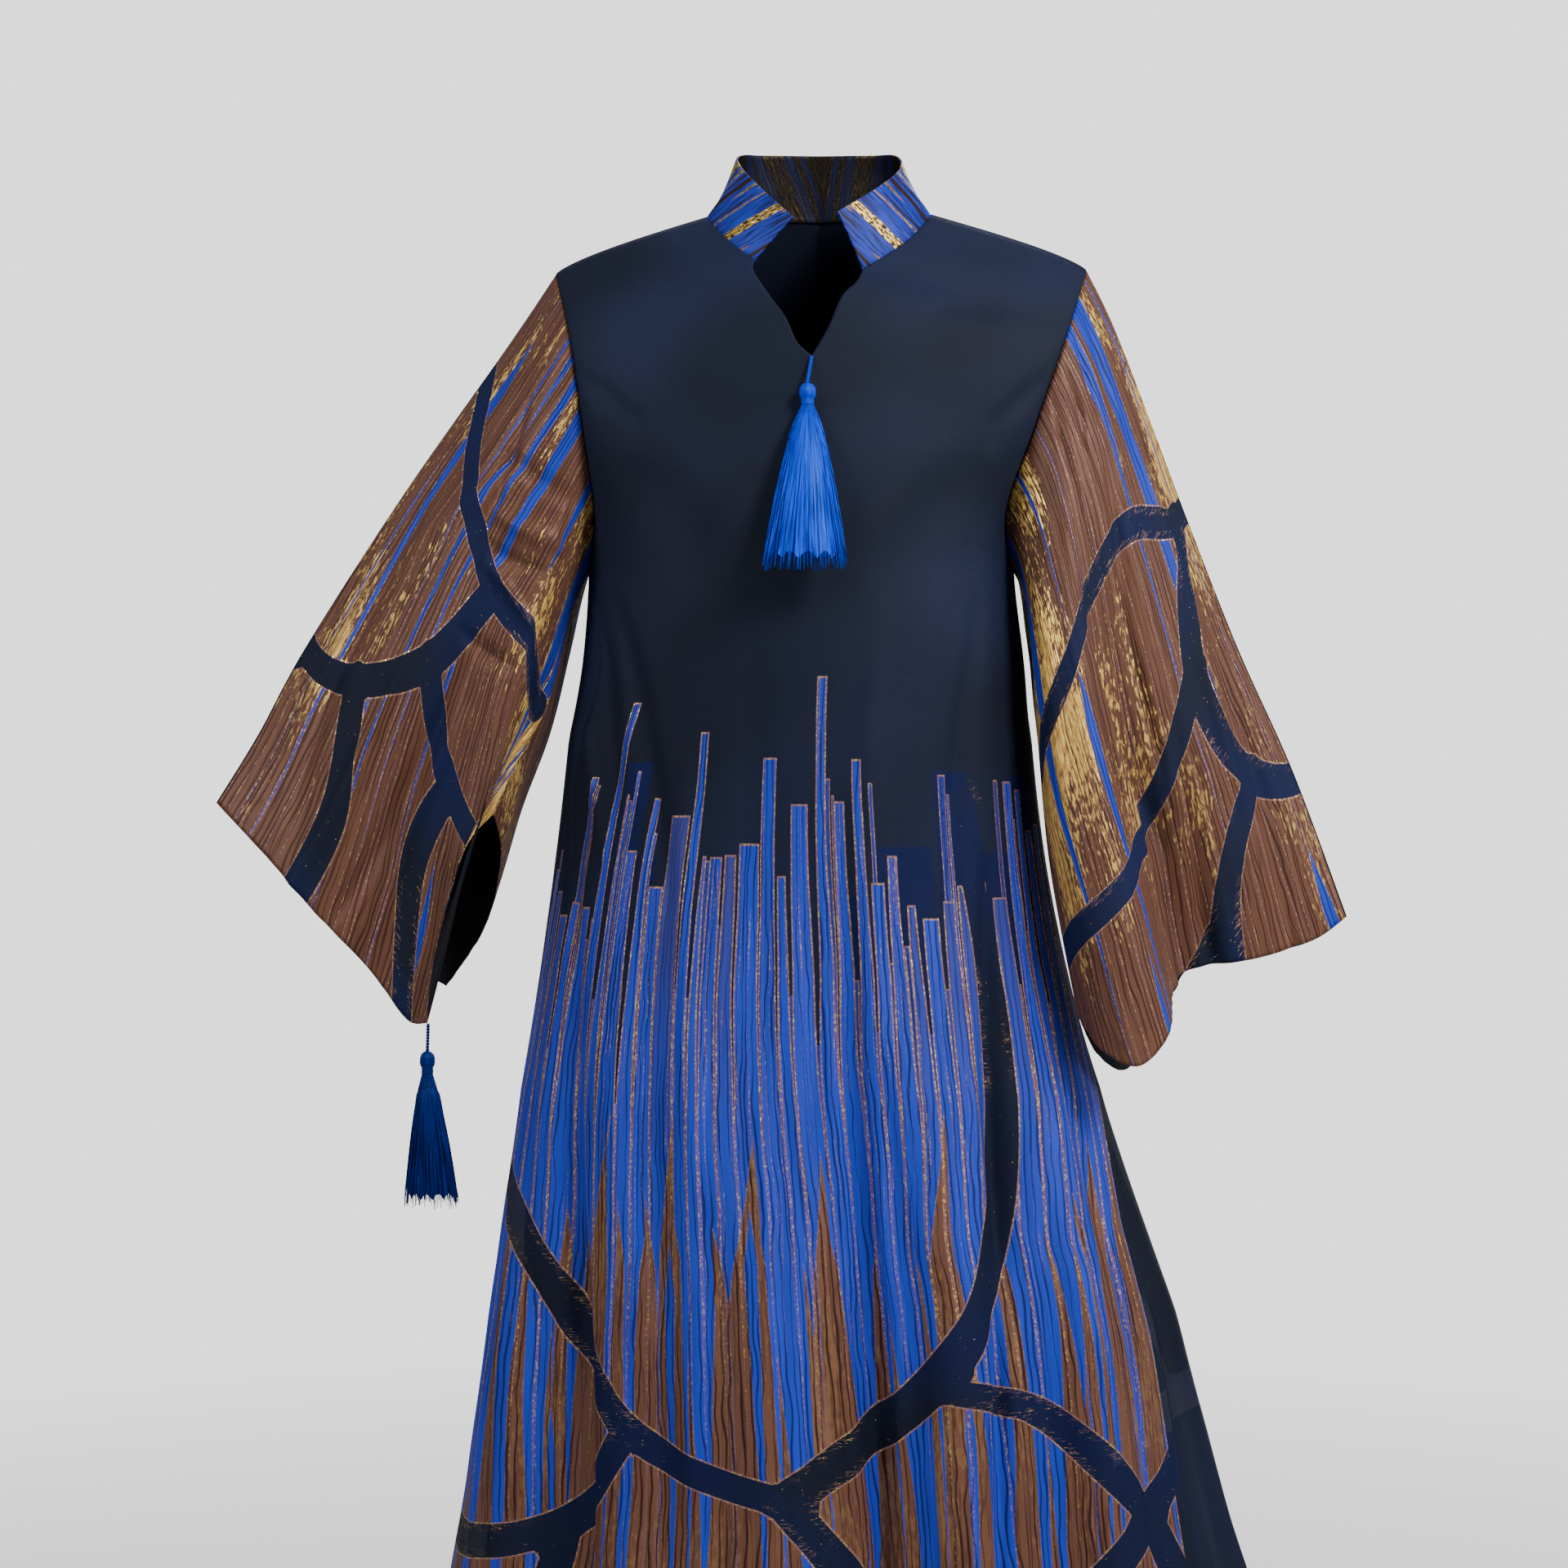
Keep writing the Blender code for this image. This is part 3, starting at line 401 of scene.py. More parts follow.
# Colours
BLUE = (0.016, 0.041, 0.430, 1.0)
# The next colour is blue in painted shade, for the crinkle's valleys and furrows and the collar's ridges.
BLUE_SHADED = (0.001, 0.006, 0.085, 1.0)
MAUVE = (0.034, 0.036, 0.170, 1.0)
BRONZE = (0.152, 0.066, 0.040, 1.0)
BRONZE_DEEP = (0.024, 0.007, 0.007, 1.0)
GOLD = (1.000, 0.680, 0.170, 1.0)
GOLD_DEEP = (0.560, 0.250, 0.060, 1.0)
COPPER = (0.230, 0.110, 0.110, 1.0)
GROUND = (0.0052, 0.0082, 0.0200, 1.0)
GROUND_SILK = (0.0095, 0.0150, 0.0480, 1.0)
GROUND_BLUE = (0.0012, 0.0060, 0.0620, 1.0)
REVERSE = (0.010, 0.010, 0.014, 1.0)
COLLAR_INSIDE = (0.003, 0.003, 0.008, 1.0)
SATIN = (0.004, 0.004, 0.007, 1.0)
SATIN_SHINE = (0.02, 0.022, 0.032, 1.0)
SHEEN_TINT = (0.45, 0.55, 1.0, 1.0)
THREAD_TINT = (0.25, 0.50, 1.0, 1.0)
# Thread colours, bright and deep. The second set is the same thread painted darker, as painted shade under
# the sleeve.
THREAD_COLOURS = (
    ("thread", (0.000, 0.075, 0.900, 1.0), (0.000, 0.012, 0.240, 1.0)),
    ("shaded_thread", (0.001, 0.016, 0.210, 1.0), (0.000, 0.003, 0.036, 1.0)),
)


class Facing(Enum):
    """Which way a cloth's outer side looks along Y."""

    FRONT = -1
    BACK = 1


def smooth_run(table: np.ndarray, steps: int) -> np.ndarray:
    """The smooth curve through a table's rows.

    Args:
        table: One row for each point.
        steps: How many points each stretch gets.

    Returns:
        The finer table, which ends with the last row.
    """
    last = len(table) - 1
    t = np.arange(steps)[:, None] / steps
    fine = []
    for index in range(last):
        before, start, end, after = (table[min(max(index + step, 0), last)] for step in (-1, 0, 1, 2))
        square = 2 * before - 5 * start + 4 * end - after
        cube = 3 * start - before - 3 * end + after
        fine.append(0.5 * (2 * start + (end - before) * t + square * t**2 + cube * t**3))
    return np.vstack([*fine, table[-1:]])


def run_along(points: np.ndarray, axis: int) -> np.ndarray:
    """Distances along a grid of points.

    Args:
        points: The points by row and column.
        axis: 0 to go along each column, 1 to go along each row.

    Returns:
        The distance of each point from the first one of its column or row.
    """
    steps = np.linalg.norm(np.diff(points, axis=axis), axis=-1)
    nought = np.zeros((1, points.shape[1]) if axis == 0 else (points.shape[0], 1))
    return np.concatenate([nought, np.cumsum(steps, axis=axis)], axis=axis)


class Curve:
    """A smooth curve through a table's points, read at shares of its length."""

    STEPS = 24

    def __init__(self, points: tuple) -> None:
        """Samples the curve.

        Args:
            points: The table's points, in millimetres.
        """
        self.fine = smooth_run(np.array(points, dtype=float), self.STEPS)
        reach = run_along(self.fine[None], 1)[0]
        self.reach = reach / reach[-1]

    def at(self, shares: np.ndarray) -> np.ndarray:
        """The points at shares of the length."""
        return np.stack([np.interp(shares, self.reach, self.fine[:, axis]) for axis in range(3)], axis=-1)


class Chain:
    """Several curves in a row, each over its own span of shares."""

    def __init__(self, curves: list, stops: list) -> None:
        """Keeps the curves, with the share where each ends."""
        self.curves = [Curve(points) for points in curves]
        self.stops = [0.0, *stops]

    def at(self, shares: np.ndarray) -> np.ndarray:
        """Reads the chain.

        Args:
            shares: Shares of the whole chain, from 0 to 1.

        Returns:
            One point for each share.
        """
        result = np.zeros(shares.shape + (3,))
        for curve, start, end in zip(self.curves, self.stops, self.stops[1:]):
            local = np.clip((shares - start) / (end - start), 0.0, 1.0)
            inside = shares >= (start - 1e-9 if start else -1.0)
            result[inside] = curve.at(local[inside])
        return result


class Ladder:
    """A table of sizes at heights, read at any height by a smooth curve through its rows."""

    STEPS = 40

    def __init__(self, rows: tuple) -> None:
        """Samples the table.

        Args:
            rows: Named rows from the top down, whose first column is the height.
        """
        self.names = rows[0]._fields
        table = np.array(rows, dtype=float)
        fine = smooth_run(table, self.STEPS)
        fine[:, 0] = np.interp(np.arange(len(fine)) / self.STEPS, np.arange(len(table)), table[:, 0])
        self.fine = fine[::-1]

    def at(self, heights: np.ndarray) -> dict:
        """The table's other columns at heights, by name."""
        columns = enumerate(self.names[1:], 1)
        return {name: np.interp(heights, self.fine[:, 0], self.fine[:, index]) for index, name in columns}


BODY_LADDER = Ladder(BODY)
SLIP_LADDER = Ladder(SLIP)
SEAM_LADDER = Ladder(SIDE_SEAMS)


def smoothstep(value: np.ndarray) -> np.ndarray:
    """A soft step from 0 to 1."""
    value = np.clip(value, 0.0, 1.0)
    return value * value * (3.0 - 2.0 * value)


def fold_push(heights: np.ndarray, bearings: np.ndarray) -> np.ndarray:
    """How far the large folds push the cloth out.

    Args:
        heights: Heights in millimetres.
        bearings: Bearings in degrees.

    Returns:
        The push in millimetres.
    """
    push = np.zeros(np.broadcast(heights, bearings).shape)
    for fold in FOLDS:
        fall = np.clip((fold.start - heights) / (fold.start - HEM), 0.0, None)
        middle = fold.bearing_high + (fold.bearing_hem - fold.bearing_high) * fall
        away = ((bearings - middle + 180.0) % 360.0 - 180.0) / fold.half_width
        push += fold.depth * smoothstep(fall * FOLD_ONSET) * np.exp(-away * away)
    return push


def section(ladder: Ladder, heights: np.ndarray, bearings: np.ndarray, folded: bool = True) -> np.ndarray:
    """Points of the body or the slip.

    Args:
        ladder: Which form it is.
        heights: Heights in millimetres.
        bearings: Bearings in degrees.
        folded: Whether the large folds are added.

    Returns:
        The points in millimetres.
    """
    level = ladder.at(heights)
    centre = (level["left"] + level["right"]) / 2
    half = (level["right"] - level["left"]) / 2
    angle = np.radians(bearings)
    depth = np.where(np.sin(angle) > 0, level["front"], level["back"])
    x, y = centre + half * np.cos(angle), -depth * np.sin(angle)
    if folded:
        out_x, out_y = np.cos(angle) / half, -np.sin(angle) / depth
        push = fold_push(heights, bearings) / np.hypot(out_x, out_y)
        x, y = x + out_x * push, y + out_y * push
    return np.stack([x, y, np.broadcast_to(heights, x.shape)], axis=-1)


def crease_push(creases: tuple, across: np.ndarray, height: np.ndarray) -> np.ndarray:
    """How far the listed creases push the cloth out.

    Args:
        creases: The creases, in millimetres on the cloth.
        across: Distances across the cloth.
        height: Heights on the cloth.

    Returns:
        The push in millimetres.
    """
    push = np.zeros(across.shape)
    for crease in creases:
        run_x = crease.to_across - crease.from_across
        run_y = crease.to_height - crease.from_height
        length = math.hypot(run_x, run_y)
        along_x, along_y = run_x / length, run_y / length
        off_x, off_y = across - crease.from_across, height - crease.from_height
        arch = np.sin(np.pi * np.clip((off_x * along_x + off_y * along_y) / length, 0.0, 1.0))
        taper = arch**CREASE_TAPER
        beside = off_x * along_y - off_y * along_x + crease.bow * arch
        width = crease.half_width * (CREASE_WIDTHS[0] + CREASE_WIDTHS[1] * taper)
        push += crease.depth * taper * np.exp(-((beside / width) ** 2))
    return push


def band_gap(bands: tuple, across: np.ndarray, height: np.ndarray) -> np.ndarray:
    """Distance to the nearest edge of the dark bands, negative inside them.

    Args:
        bands: Each band's centre points and width, in millimetres on the cloth.
        across: Distances across the cloth.
        height: Heights on the cloth.

    Returns:
        The distance in millimetres.
    """
    nearest = np.full(across.shape, BAND_REACH)
    least, swell, turns = BAND_WIDTHS
    for band in bands:
        shares = np.linspace(0.0, 1.0, BAND_STEPS * len(band.points))
        line = Curve([(x, y, 0.0) for x, y in band.points]).at(shares)[:, :2]
        half = band.width / 2 * (least + swell * np.sin(turns * shares + band.width))
        for start, end, start_half, end_half in zip(line, line[1:], half, half[1:]):
            run = end - start
            off_x, off_y = across - start[0], height - start[1]
            place = np.clip((off_x * run[0] + off_y * run[1]) / (run @ run), 0.0, 1.0)
            distance = np.hypot(off_x - place * run[0], off_y - place * run[1])
            nearest = np.minimum(nearest, distance - start_half - (end_half - start_half) * place)
    return nearest


def crinkle(across: np.ndarray, height: np.ndarray, seed: float) -> np.ndarray:
    """Irregular upright ridges of crinkled jacquard.

    Args:
        across: Distances across the cloth, in millimetres.
        height: Heights on the cloth.
        seed: Where the pattern is read, so that no two cloths match.

    Returns:
        Values from about -1 to 1.
    """
    values = np.zeros(across.size)
    for ripple in RIPPLES:
        places = zip(across.ravel() * ripple.wide, height.ravel() * ripple.tall)
        heights = [noise.noise(Vector((x, y, seed + ripple.shift))) for x, y in places]
        values += ripple.weight * np.array(heights)
    return values.reshape(across.shape)


def link(thing: bpy.types.Object) -> bpy.types.Object:
    """Puts an object in the scene."""
    bpy.context.scene.collection.objects.link(thing)
    return thing


def new_piece(name: str, mesh: bmesh.types.BMesh, node: str, slot: str) -> bpy.types.Object:
    """Makes a smooth object that stands for a solid of the model.

    Args:
        name: The piece's name.
        mesh: Its mesh, which is used up.
        node: The solid that it stands for.
        slot: The material slot; it is not used.

    Returns:
        The object.
    """
    data = bpy.data.meshes.new(name)
    mesh.to_mesh(data)
    mesh.free()
    data.shade_smooth()
    piece = link(bpy.data.objects.new(name, data))
    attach(piece, "root")
    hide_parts(node)
    return piece


@dataclass
class ClothPatch:
    """A thin shell of cloth on a grid across and up, with creases and the cloth's own coordinates."""

    name: str
    node: str
    slot: str
    columns: int
    rows: int
    thickness: float
    creases: tuple
    bands: tuple = ()
    fan: float = 0.0
    crinkle_depth: float = 0.0
    seed: float = 0.0
    split_row: int | None = None
    turned: bool = False
    sewn: tuple = ("start", "end", "top")
    seam_dip: float = 0.5
    halves: list = field(default_factory=list)

    def surface(self, across: np.ndarray, up: np.ndarray, side: int) -> np.ndarray:
        """Points of the uncreased cloth by row and column, in millimetres; each kind of cloth has its own."""
        raise NotImplementedError

    def across_of(self, arcs: np.ndarray, side: int) -> np.ndarray:
        """Distance across the cloth, from the distance along each row; 0 is the middle of the cloth."""
        return arcs - arcs[:, -1:] / 2

    def height_of(self, points: np.ndarray) -> np.ndarray:
        """Height on the cloth at each point; the plain height unless a kind of cloth says otherwise."""
        return points[..., 2]

    def plain_edge(self, height: np.ndarray, start: np.ndarray, end: np.ndarray) -> np.ndarray:
        """How far each point is inside the woven figure, in millimetres; plain cloth has less than 0."""
        return np.full(height.shape, WOVEN_THROUGHOUT)

    def crinkle_share(self, height: np.ndarray) -> np.ndarray:
        """How strong the crinkle is at each height."""
        return np.ones(height.shape)

    def measured_half(self, points: np.ndarray, side: int) -> dict:
        """Creases one half of the cloth and measures it.

        Args:
            points: The half's points, by row and column.
            side: 0 for the half that starts at the grid's left edge, 1 for the other.

        Returns:
            The creased points and the cloth's coordinates, edges and bands at each.
        """
        arcs, climbs = run_along(points, 1), run_along(points, 0)
        across, height = self.across_of(arcs, side), self.height_of(points)
        widths = arcs[:, -1:]
        fanned = across * (widths.mean() / widths) ** self.fan
        far = np.full(arcs.shape, FAR)
        slit = self.split_row is not None
        start = far if slit and side else arcs
        end = far if slit and not side else widths - arcs
        edges = {"start": start, "end": end, "top": climbs[-1:] - climbs, "bottom": climbs}
        near = np.minimum.reduce([edges[name] for name in self.sewn])
        push = crease_push(self.creases, across, height)
        if self.crinkle_depth:
            push += self.crinkle_depth * crinkle(fanned, height, self.seed) * self.crinkle_share(height)
        push = push * smoothstep(near / SEAM_EASE) - self.seam_dip * np.exp(-((near / SEAM_WIDTH) ** 2))
        normal = np.cross(np.gradient(points, axis=1), np.gradient(points, axis=0))
        normal /= np.maximum(np.linalg.norm(normal, axis=2, keepdims=True), 1e-9)
        if self.turned:
            normal = -normal
        return {
            "points": points + normal * push[..., None],
            "across": fanned,
            "height": height,
            "figure": self.plain_edge(height, start, end),
            "band": band_gap(self.bands, fanned, height),
        }

    def measure(self) -> None:
        """Works out both halves, or the one sheet, and joins their shared middle below the slit."""
        up = np.linspace(0.0, 1.0, self.rows + 1)[:, None]
        half = self.columns // 2
        spans = [np.linspace(0.0, 0.5, half + 1), np.linspace(0.5, 1.0, half + 1)]
        if self.split_row is None:
            spans = [np.linspace(0.0, 1.0, self.columns + 1)]
        self.halves = [
            self.measured_half(self.surface(span[None, :], up, side), side) for side, span in enumerate(spans)
        ]
        if self.split_row is not None:
            joined = slice(0, self.split_row + 1)
            first, second = (part["points"] for part in self.halves)
            shared = (first[joined, -1] + second[joined, 0]) / 2
            first[joined, -1] = shared
            second[joined, 0] = shared

    def slit(self, mesh: bmesh.types.BMesh) -> None:
        """Parts the grid's middle above the split row.

        Args:
            mesh: The grid, from -1 to 1.
        """
        low = 2.0 * self.split_row / self.rows - 1.0 - SNAP
        on_slit = {vert for vert in mesh.verts if abs(vert.co.x) < SNAP and vert.co.y > low}
        bmesh.ops.split_edges(mesh, edges=[edge for edge in mesh.edges if on_slit.issuperset(edge.verts)])

    def spot(self, vert: bmesh.types.BMVert) -> tuple:
        """Where a vertex of the grid is found.

        Args:
            vert: The vertex.

        Returns:
            Its half, and its row and column there.
        """
        column = round((vert.co.x + 1.0) / 2.0 * self.columns)
        row = round((vert.co.y + 1.0) / 2.0 * self.rows)
        side = 0
        if self.split_row is not None:
            side = int(sum(face.calc_center_median().x for face in vert.link_faces) > SNAP)
        return side, (row, column - self.columns // 2 * side)

    def build(self) -> bpy.types.Object:
        """Makes the shell: a grid, moved to the cloth's places, with a wall.

        Returns:
            The finished object.
        """
        self.measure()
        mesh = bmesh.new()
        bmesh.ops.create_grid(mesh, x_segments=self.columns, y_segments=self.rows, size=1.0)
        if self.split_row is not None:
            self.slit(mesh)
        cloth = mesh.loops.layers.uv.new("cloth")
        layers = {name: mesh.verts.layers.float.new(name) for name in ("figure", "band")}
        spots = [self.spot(vert) for vert in mesh.verts]
        for vert, (side, place) in zip(mesh.verts, spots):
            part = self.halves[side]
            vert.co = Vector(part["points"][place]) * MM
            for name, layer in layers.items():
                vert[layer] = part[name][place] * MM
            for loop in vert.link_loops:
                loop[cloth].uv = (part["across"][place] * MM, part["height"][place] * MM)
        if self.turned:
            bmesh.ops.reverse_faces(mesh, faces=mesh.faces)
        self.close(mesh)
        piece = new_piece(self.name, mesh, self.node, self.slot)
        wall = piece.modifiers.new("wall", "SOLIDIFY")
        wall.thickness = self.thickness * MM
        wall.offset = -1.0
        wall.material_offset = 1
        wall.material_offset_rim = 0
        return piece

    def close(self, mesh: bmesh.types.BMesh) -> None:
        """Joins edges that meet; only a ring of cloth has any."""


@dataclass
class BodyPanel(ClothPatch):
    """The front or the back: a skirt from seam to seam and a yoke that parts at the neck."""

    facing: Facing = Facing.FRONT
    armholes: tuple = ()
    inner_edges: tuple = ()
    inner_stops: tuple = ()
    plain_sides: tuple = ((0.0, 0.0), (0.0, 0.0))

    def bearings(self, across: np.ndarray, heights: np.ndarray) -> np.ndarray:
        """Bearings of the columns at each height.

        Args:
            across: Shares across the panel.
            heights: Heights in millimetres.

        Returns:
            Bearings in degrees.
        """
        seam = SEAM_LADDER.at(heights)
        if self.facing is Facing.FRONT:
            start, middle, end = 180.0 - seam["left"], 90.0, seam["right"]
        else:
            start, middle, end = seam["right"], -90.0, -180.0 - seam["left"]
        first = start + (middle - start) * across * 2.0
        second = middle + (end - middle) * (across * 2.0 - 1.0)
        return np.where(across < 0.5, first, second)

    def surface(self, across: np.ndarray, up: np.ndarray, side: int) -> np.ndarray:
        """The skirt from section to section, and the yoke between its armhole and inner edge.

        Args:
            across: Shares across, as one row.
            up: Shares up, as one column.
            side: Which half.

        Returns:
            The points by row and column, in millimetres.
        """
        heights = HEM + (UNDERARM - HEM) * up[: SKIRT_ROWS + 1] * self.rows / SKIRT_ROWS
        heights = np.broadcast_to(heights, (len(heights), across.shape[1]))
        skirt = section(BODY_LADDER, heights, self.bearings(across, heights))
        yoke_rows = self.rows - SKIRT_ROWS
        shares = (np.arange(yoke_rows) + 1.0) / yoke_rows
        outer = Curve(self.armholes[side]).at(shares)[:, None, :]
        inner = Chain(self.inner_edges[side], self.inner_stops).at(shares)[:, None, :]
        reach = across * 2.0 if side == 0 else (1.0 - across) * 2.0
        angle = np.pi / 2 * reach
        yoke = inner + (outer - inner) * np.cos(angle)[..., None]
        yoke[..., 1] = outer[..., 1] + (inner - outer)[..., 1] * np.sin(angle)
        yoke[..., 2] += SHOULDER_CROWN * shares[:, None] ** 3 * np.sin(2 * angle)
        return np.concatenate([skirt, yoke], axis=0)

    def across_of(self, arcs: np.ndarray, side: int) -> np.ndarray:
        """Distance from the middle line, where the halves meet."""
        return arcs if side else arcs - arcs[:, -1:]

    def height_of(self, points: np.ndarray) -> np.ndarray:
        """The height, counted on past the underarm along the cloth."""
        yoke = UNDERARM + run_along(points[SKIRT_ROWS:], 0)[1:]
        return np.concatenate([points[: SKIRT_ROWS + 1, :, 2], yoke], axis=0)

    def crinkle_share(self, height: np.ndarray) -> np.ndarray:
        """The crinkle grows below the plain bodice."""
        return smoothstep((CRINKLE_TOP - height) / CRINKLE_RUN)

    def plain_edge(self, height: np.ndarray, start: np.ndarray, end: np.ndarray) -> np.ndarray:
        """Plain strips run down both side seams, and grow wider from the chest to the hem.

        Args:
            height: Heights on the cloth, in millimetres.
            start: Distances from the panel's left edge.
            end: Distances from its right edge.

        Returns:
            How far each point is inside the woven figure.
        """
        fall = smoothstep((PLAIN_TOP - height) / PLAIN_RUN)
        sides = zip((start, end), self.plain_sides)
        inside = [edge - high - (low - high) * fall for edge, (high, low) in sides]
        return np.clip(np.minimum(*inside), -PLAIN_REACH, PLAIN_REACH)


@dataclass
class SleeveHalf(ClothPatch):
    """Half a sleeve, spread between its armhole, hem, overarm and underarm edges."""

    facing: Facing = Facing.FRONT
    armhole: tuple = ()
    hem: tuple = ()
    over: tuple = ()
    under: tuple = ()
    folds: tuple = ()
    bulge: float = 16.0

    def fold_push(self, across: np.ndarray, down: np.ndarray) -> np.ndarray:
        """How far the sleeve's large folds push the cloth out.

        Args:
            across: Shares from the overarm to the underarm.
            down: Shares from the armhole to the hem.

        Returns:
            The push in millimetres.
        """
        push = np.zeros(np.broadcast(across, down).shape)
        for fold in self.folds:
            fall = np.clip((down - fold.from_share) / (1.0 - fold.from_share), 0.0, None)
            middle = fold.across_high + (fold.across_low - fold.across_high) * down
            away = (across - middle) / fold.half_width
            push += fold.depth * smoothstep(fall * SLEEVE_FOLD_ONSET) * np.exp(-away * away)
        return push

    def surface(self, across: np.ndarray, up: np.ndarray, side: int) -> np.ndarray:
        """A patch between four edges, across from the overarm to the underarm and up from the hem.

        Args:
            across: Shares across, as one row.
            up: Shares up, as one column.
            side: Which half.

        Returns:
            The points by row and column, in millimetres.
        """
        down = 1.0 - up
        top = Curve(self.armhole[::-1]).at(across[0])[None]
        foot = Chain(self.hem, [HEM_CORNER_SHARE, 1.0]).at(across[0])[None]
        overarm, underarm = (Curve(edge).at(down[:, 0])[:, None] for edge in (self.over, self.under))
        fall, reach = down[:, :, None], across[:, :, None]
        ruled = top + (foot - top) * fall + overarm + (underarm - overarm) * reach
        corners = [top[:, at] + (foot[:, at] - top[:, at]) * fall for at in (slice(0, 1), slice(-1, None))]
        points = ruled - corners[0] - (corners[1] - corners[0]) * reach
        puff = self.bulge * np.sin(np.pi * across) * np.sin(np.pi * np.minimum(1.0, down * 0.95))
        crease = self.fold_push(across, down) * np.minimum(1.0, 4.0 * across * (1.0 - across))
        points[..., 1] += self.facing.value * (puff + crease)
        return points

    def across_of(self, arcs: np.ndarray, side: int) -> np.ndarray:
        """Distance from the overarm line, negative on the back half."""
        return arcs * -self.facing.value

    def height_of(self, points: np.ndarray) -> np.ndarray:
        """Minus the distance from the armhole, down the middle of the sleeve's own columns."""
        return -run_along(points[::-1], 0)[::-1]


@dataclass
class Collar(ClothPatch):
    """The stand collar: one stiff band from the left front edge, round the back, to the right front edge."""

    def surface(self, across: np.ndarray, up: np.ndarray, side: int) -> np.ndarray:
        """A band from the neckline to the top edge, a little round in its height.

        Args:
            across: Shares across, as one row.
            up: Shares up, as one column.
            side: Which half.

        Returns:
            The points by row and column, in millimetres.
        """
        edges = [NECK_LEFT, NECK_BACK_LEFT[::-1], NECK_BACK_RIGHT, NECK_RIGHT[::-1]]
        stops = [COLLAR_FRONT_SHARE, 0.5, 1.0 - COLLAR_FRONT_SHARE, 1.0]
        base = Chain(edges, stops).at(across[0])[None] + np.array([0.0, 0.0, COLLAR_RISE])
        top = Curve(COLLAR_TOP).at(across[0])[None]
        outward = (base - np.array(COLLAR_MIDDLE)) * np.array([1.0, 1.0, 0.0])
        outward /= np.linalg.norm(outward, axis=2, keepdims=True)
        belly = COLLAR_BELLY * np.sin(np.pi * up)[:, :, None]
        return base + (top - base) * up[:, :, None] + outward * belly

    def height_of(self, points: np.ndarray) -> np.ndarray:
        """Height above the neckline, along the cloth."""
        return run_along(points, 0)


@dataclass
class LiningSlip(ClothPatch):
    """The straight slip inside the skirt, a ring of cloth that hangs from the body at bust height."""

    def surface(self, across: np.ndarray, up: np.ndarray, side: int) -> np.ndarray:
        """The body's form, set in, which eases into the slip's own.

        Args:
            across: Shares across, as one row.
            up: Shares up, as one column.
            side: Which half.

        Returns:
            The points by row and column, in millimetres.
        """
        heights = np.broadcast_to(LINING_HEM + (LINING_TOP - LINING_HEM) * up, (len(up), across.shape[1]))
        bearings = 180.0 - 360.0 * across
        body = section(BODY_LADDER, heights, bearings)
        outward = (body - body.mean(axis=1, keepdims=True)) * np.array([1.0, 1.0, 0.0])
        outward /= np.linalg.norm(outward, axis=2, keepdims=True)
        inside = body - outward * SLIP_INSET
        slip = section(SLIP_LADDER, heights, bearings, folded=False)
        ease = smoothstep((LINING_TOP - heights) / SLIP_EASE_LENGTH)[..., None]
        return inside + (slip - inside) * ease

    def close(self, mesh: bmesh.types.BMesh) -> None:
        """Welds the ring where its two ends meet."""
        bmesh.ops.remove_doubles(mesh, verts=mesh.verts, dist=WELD)


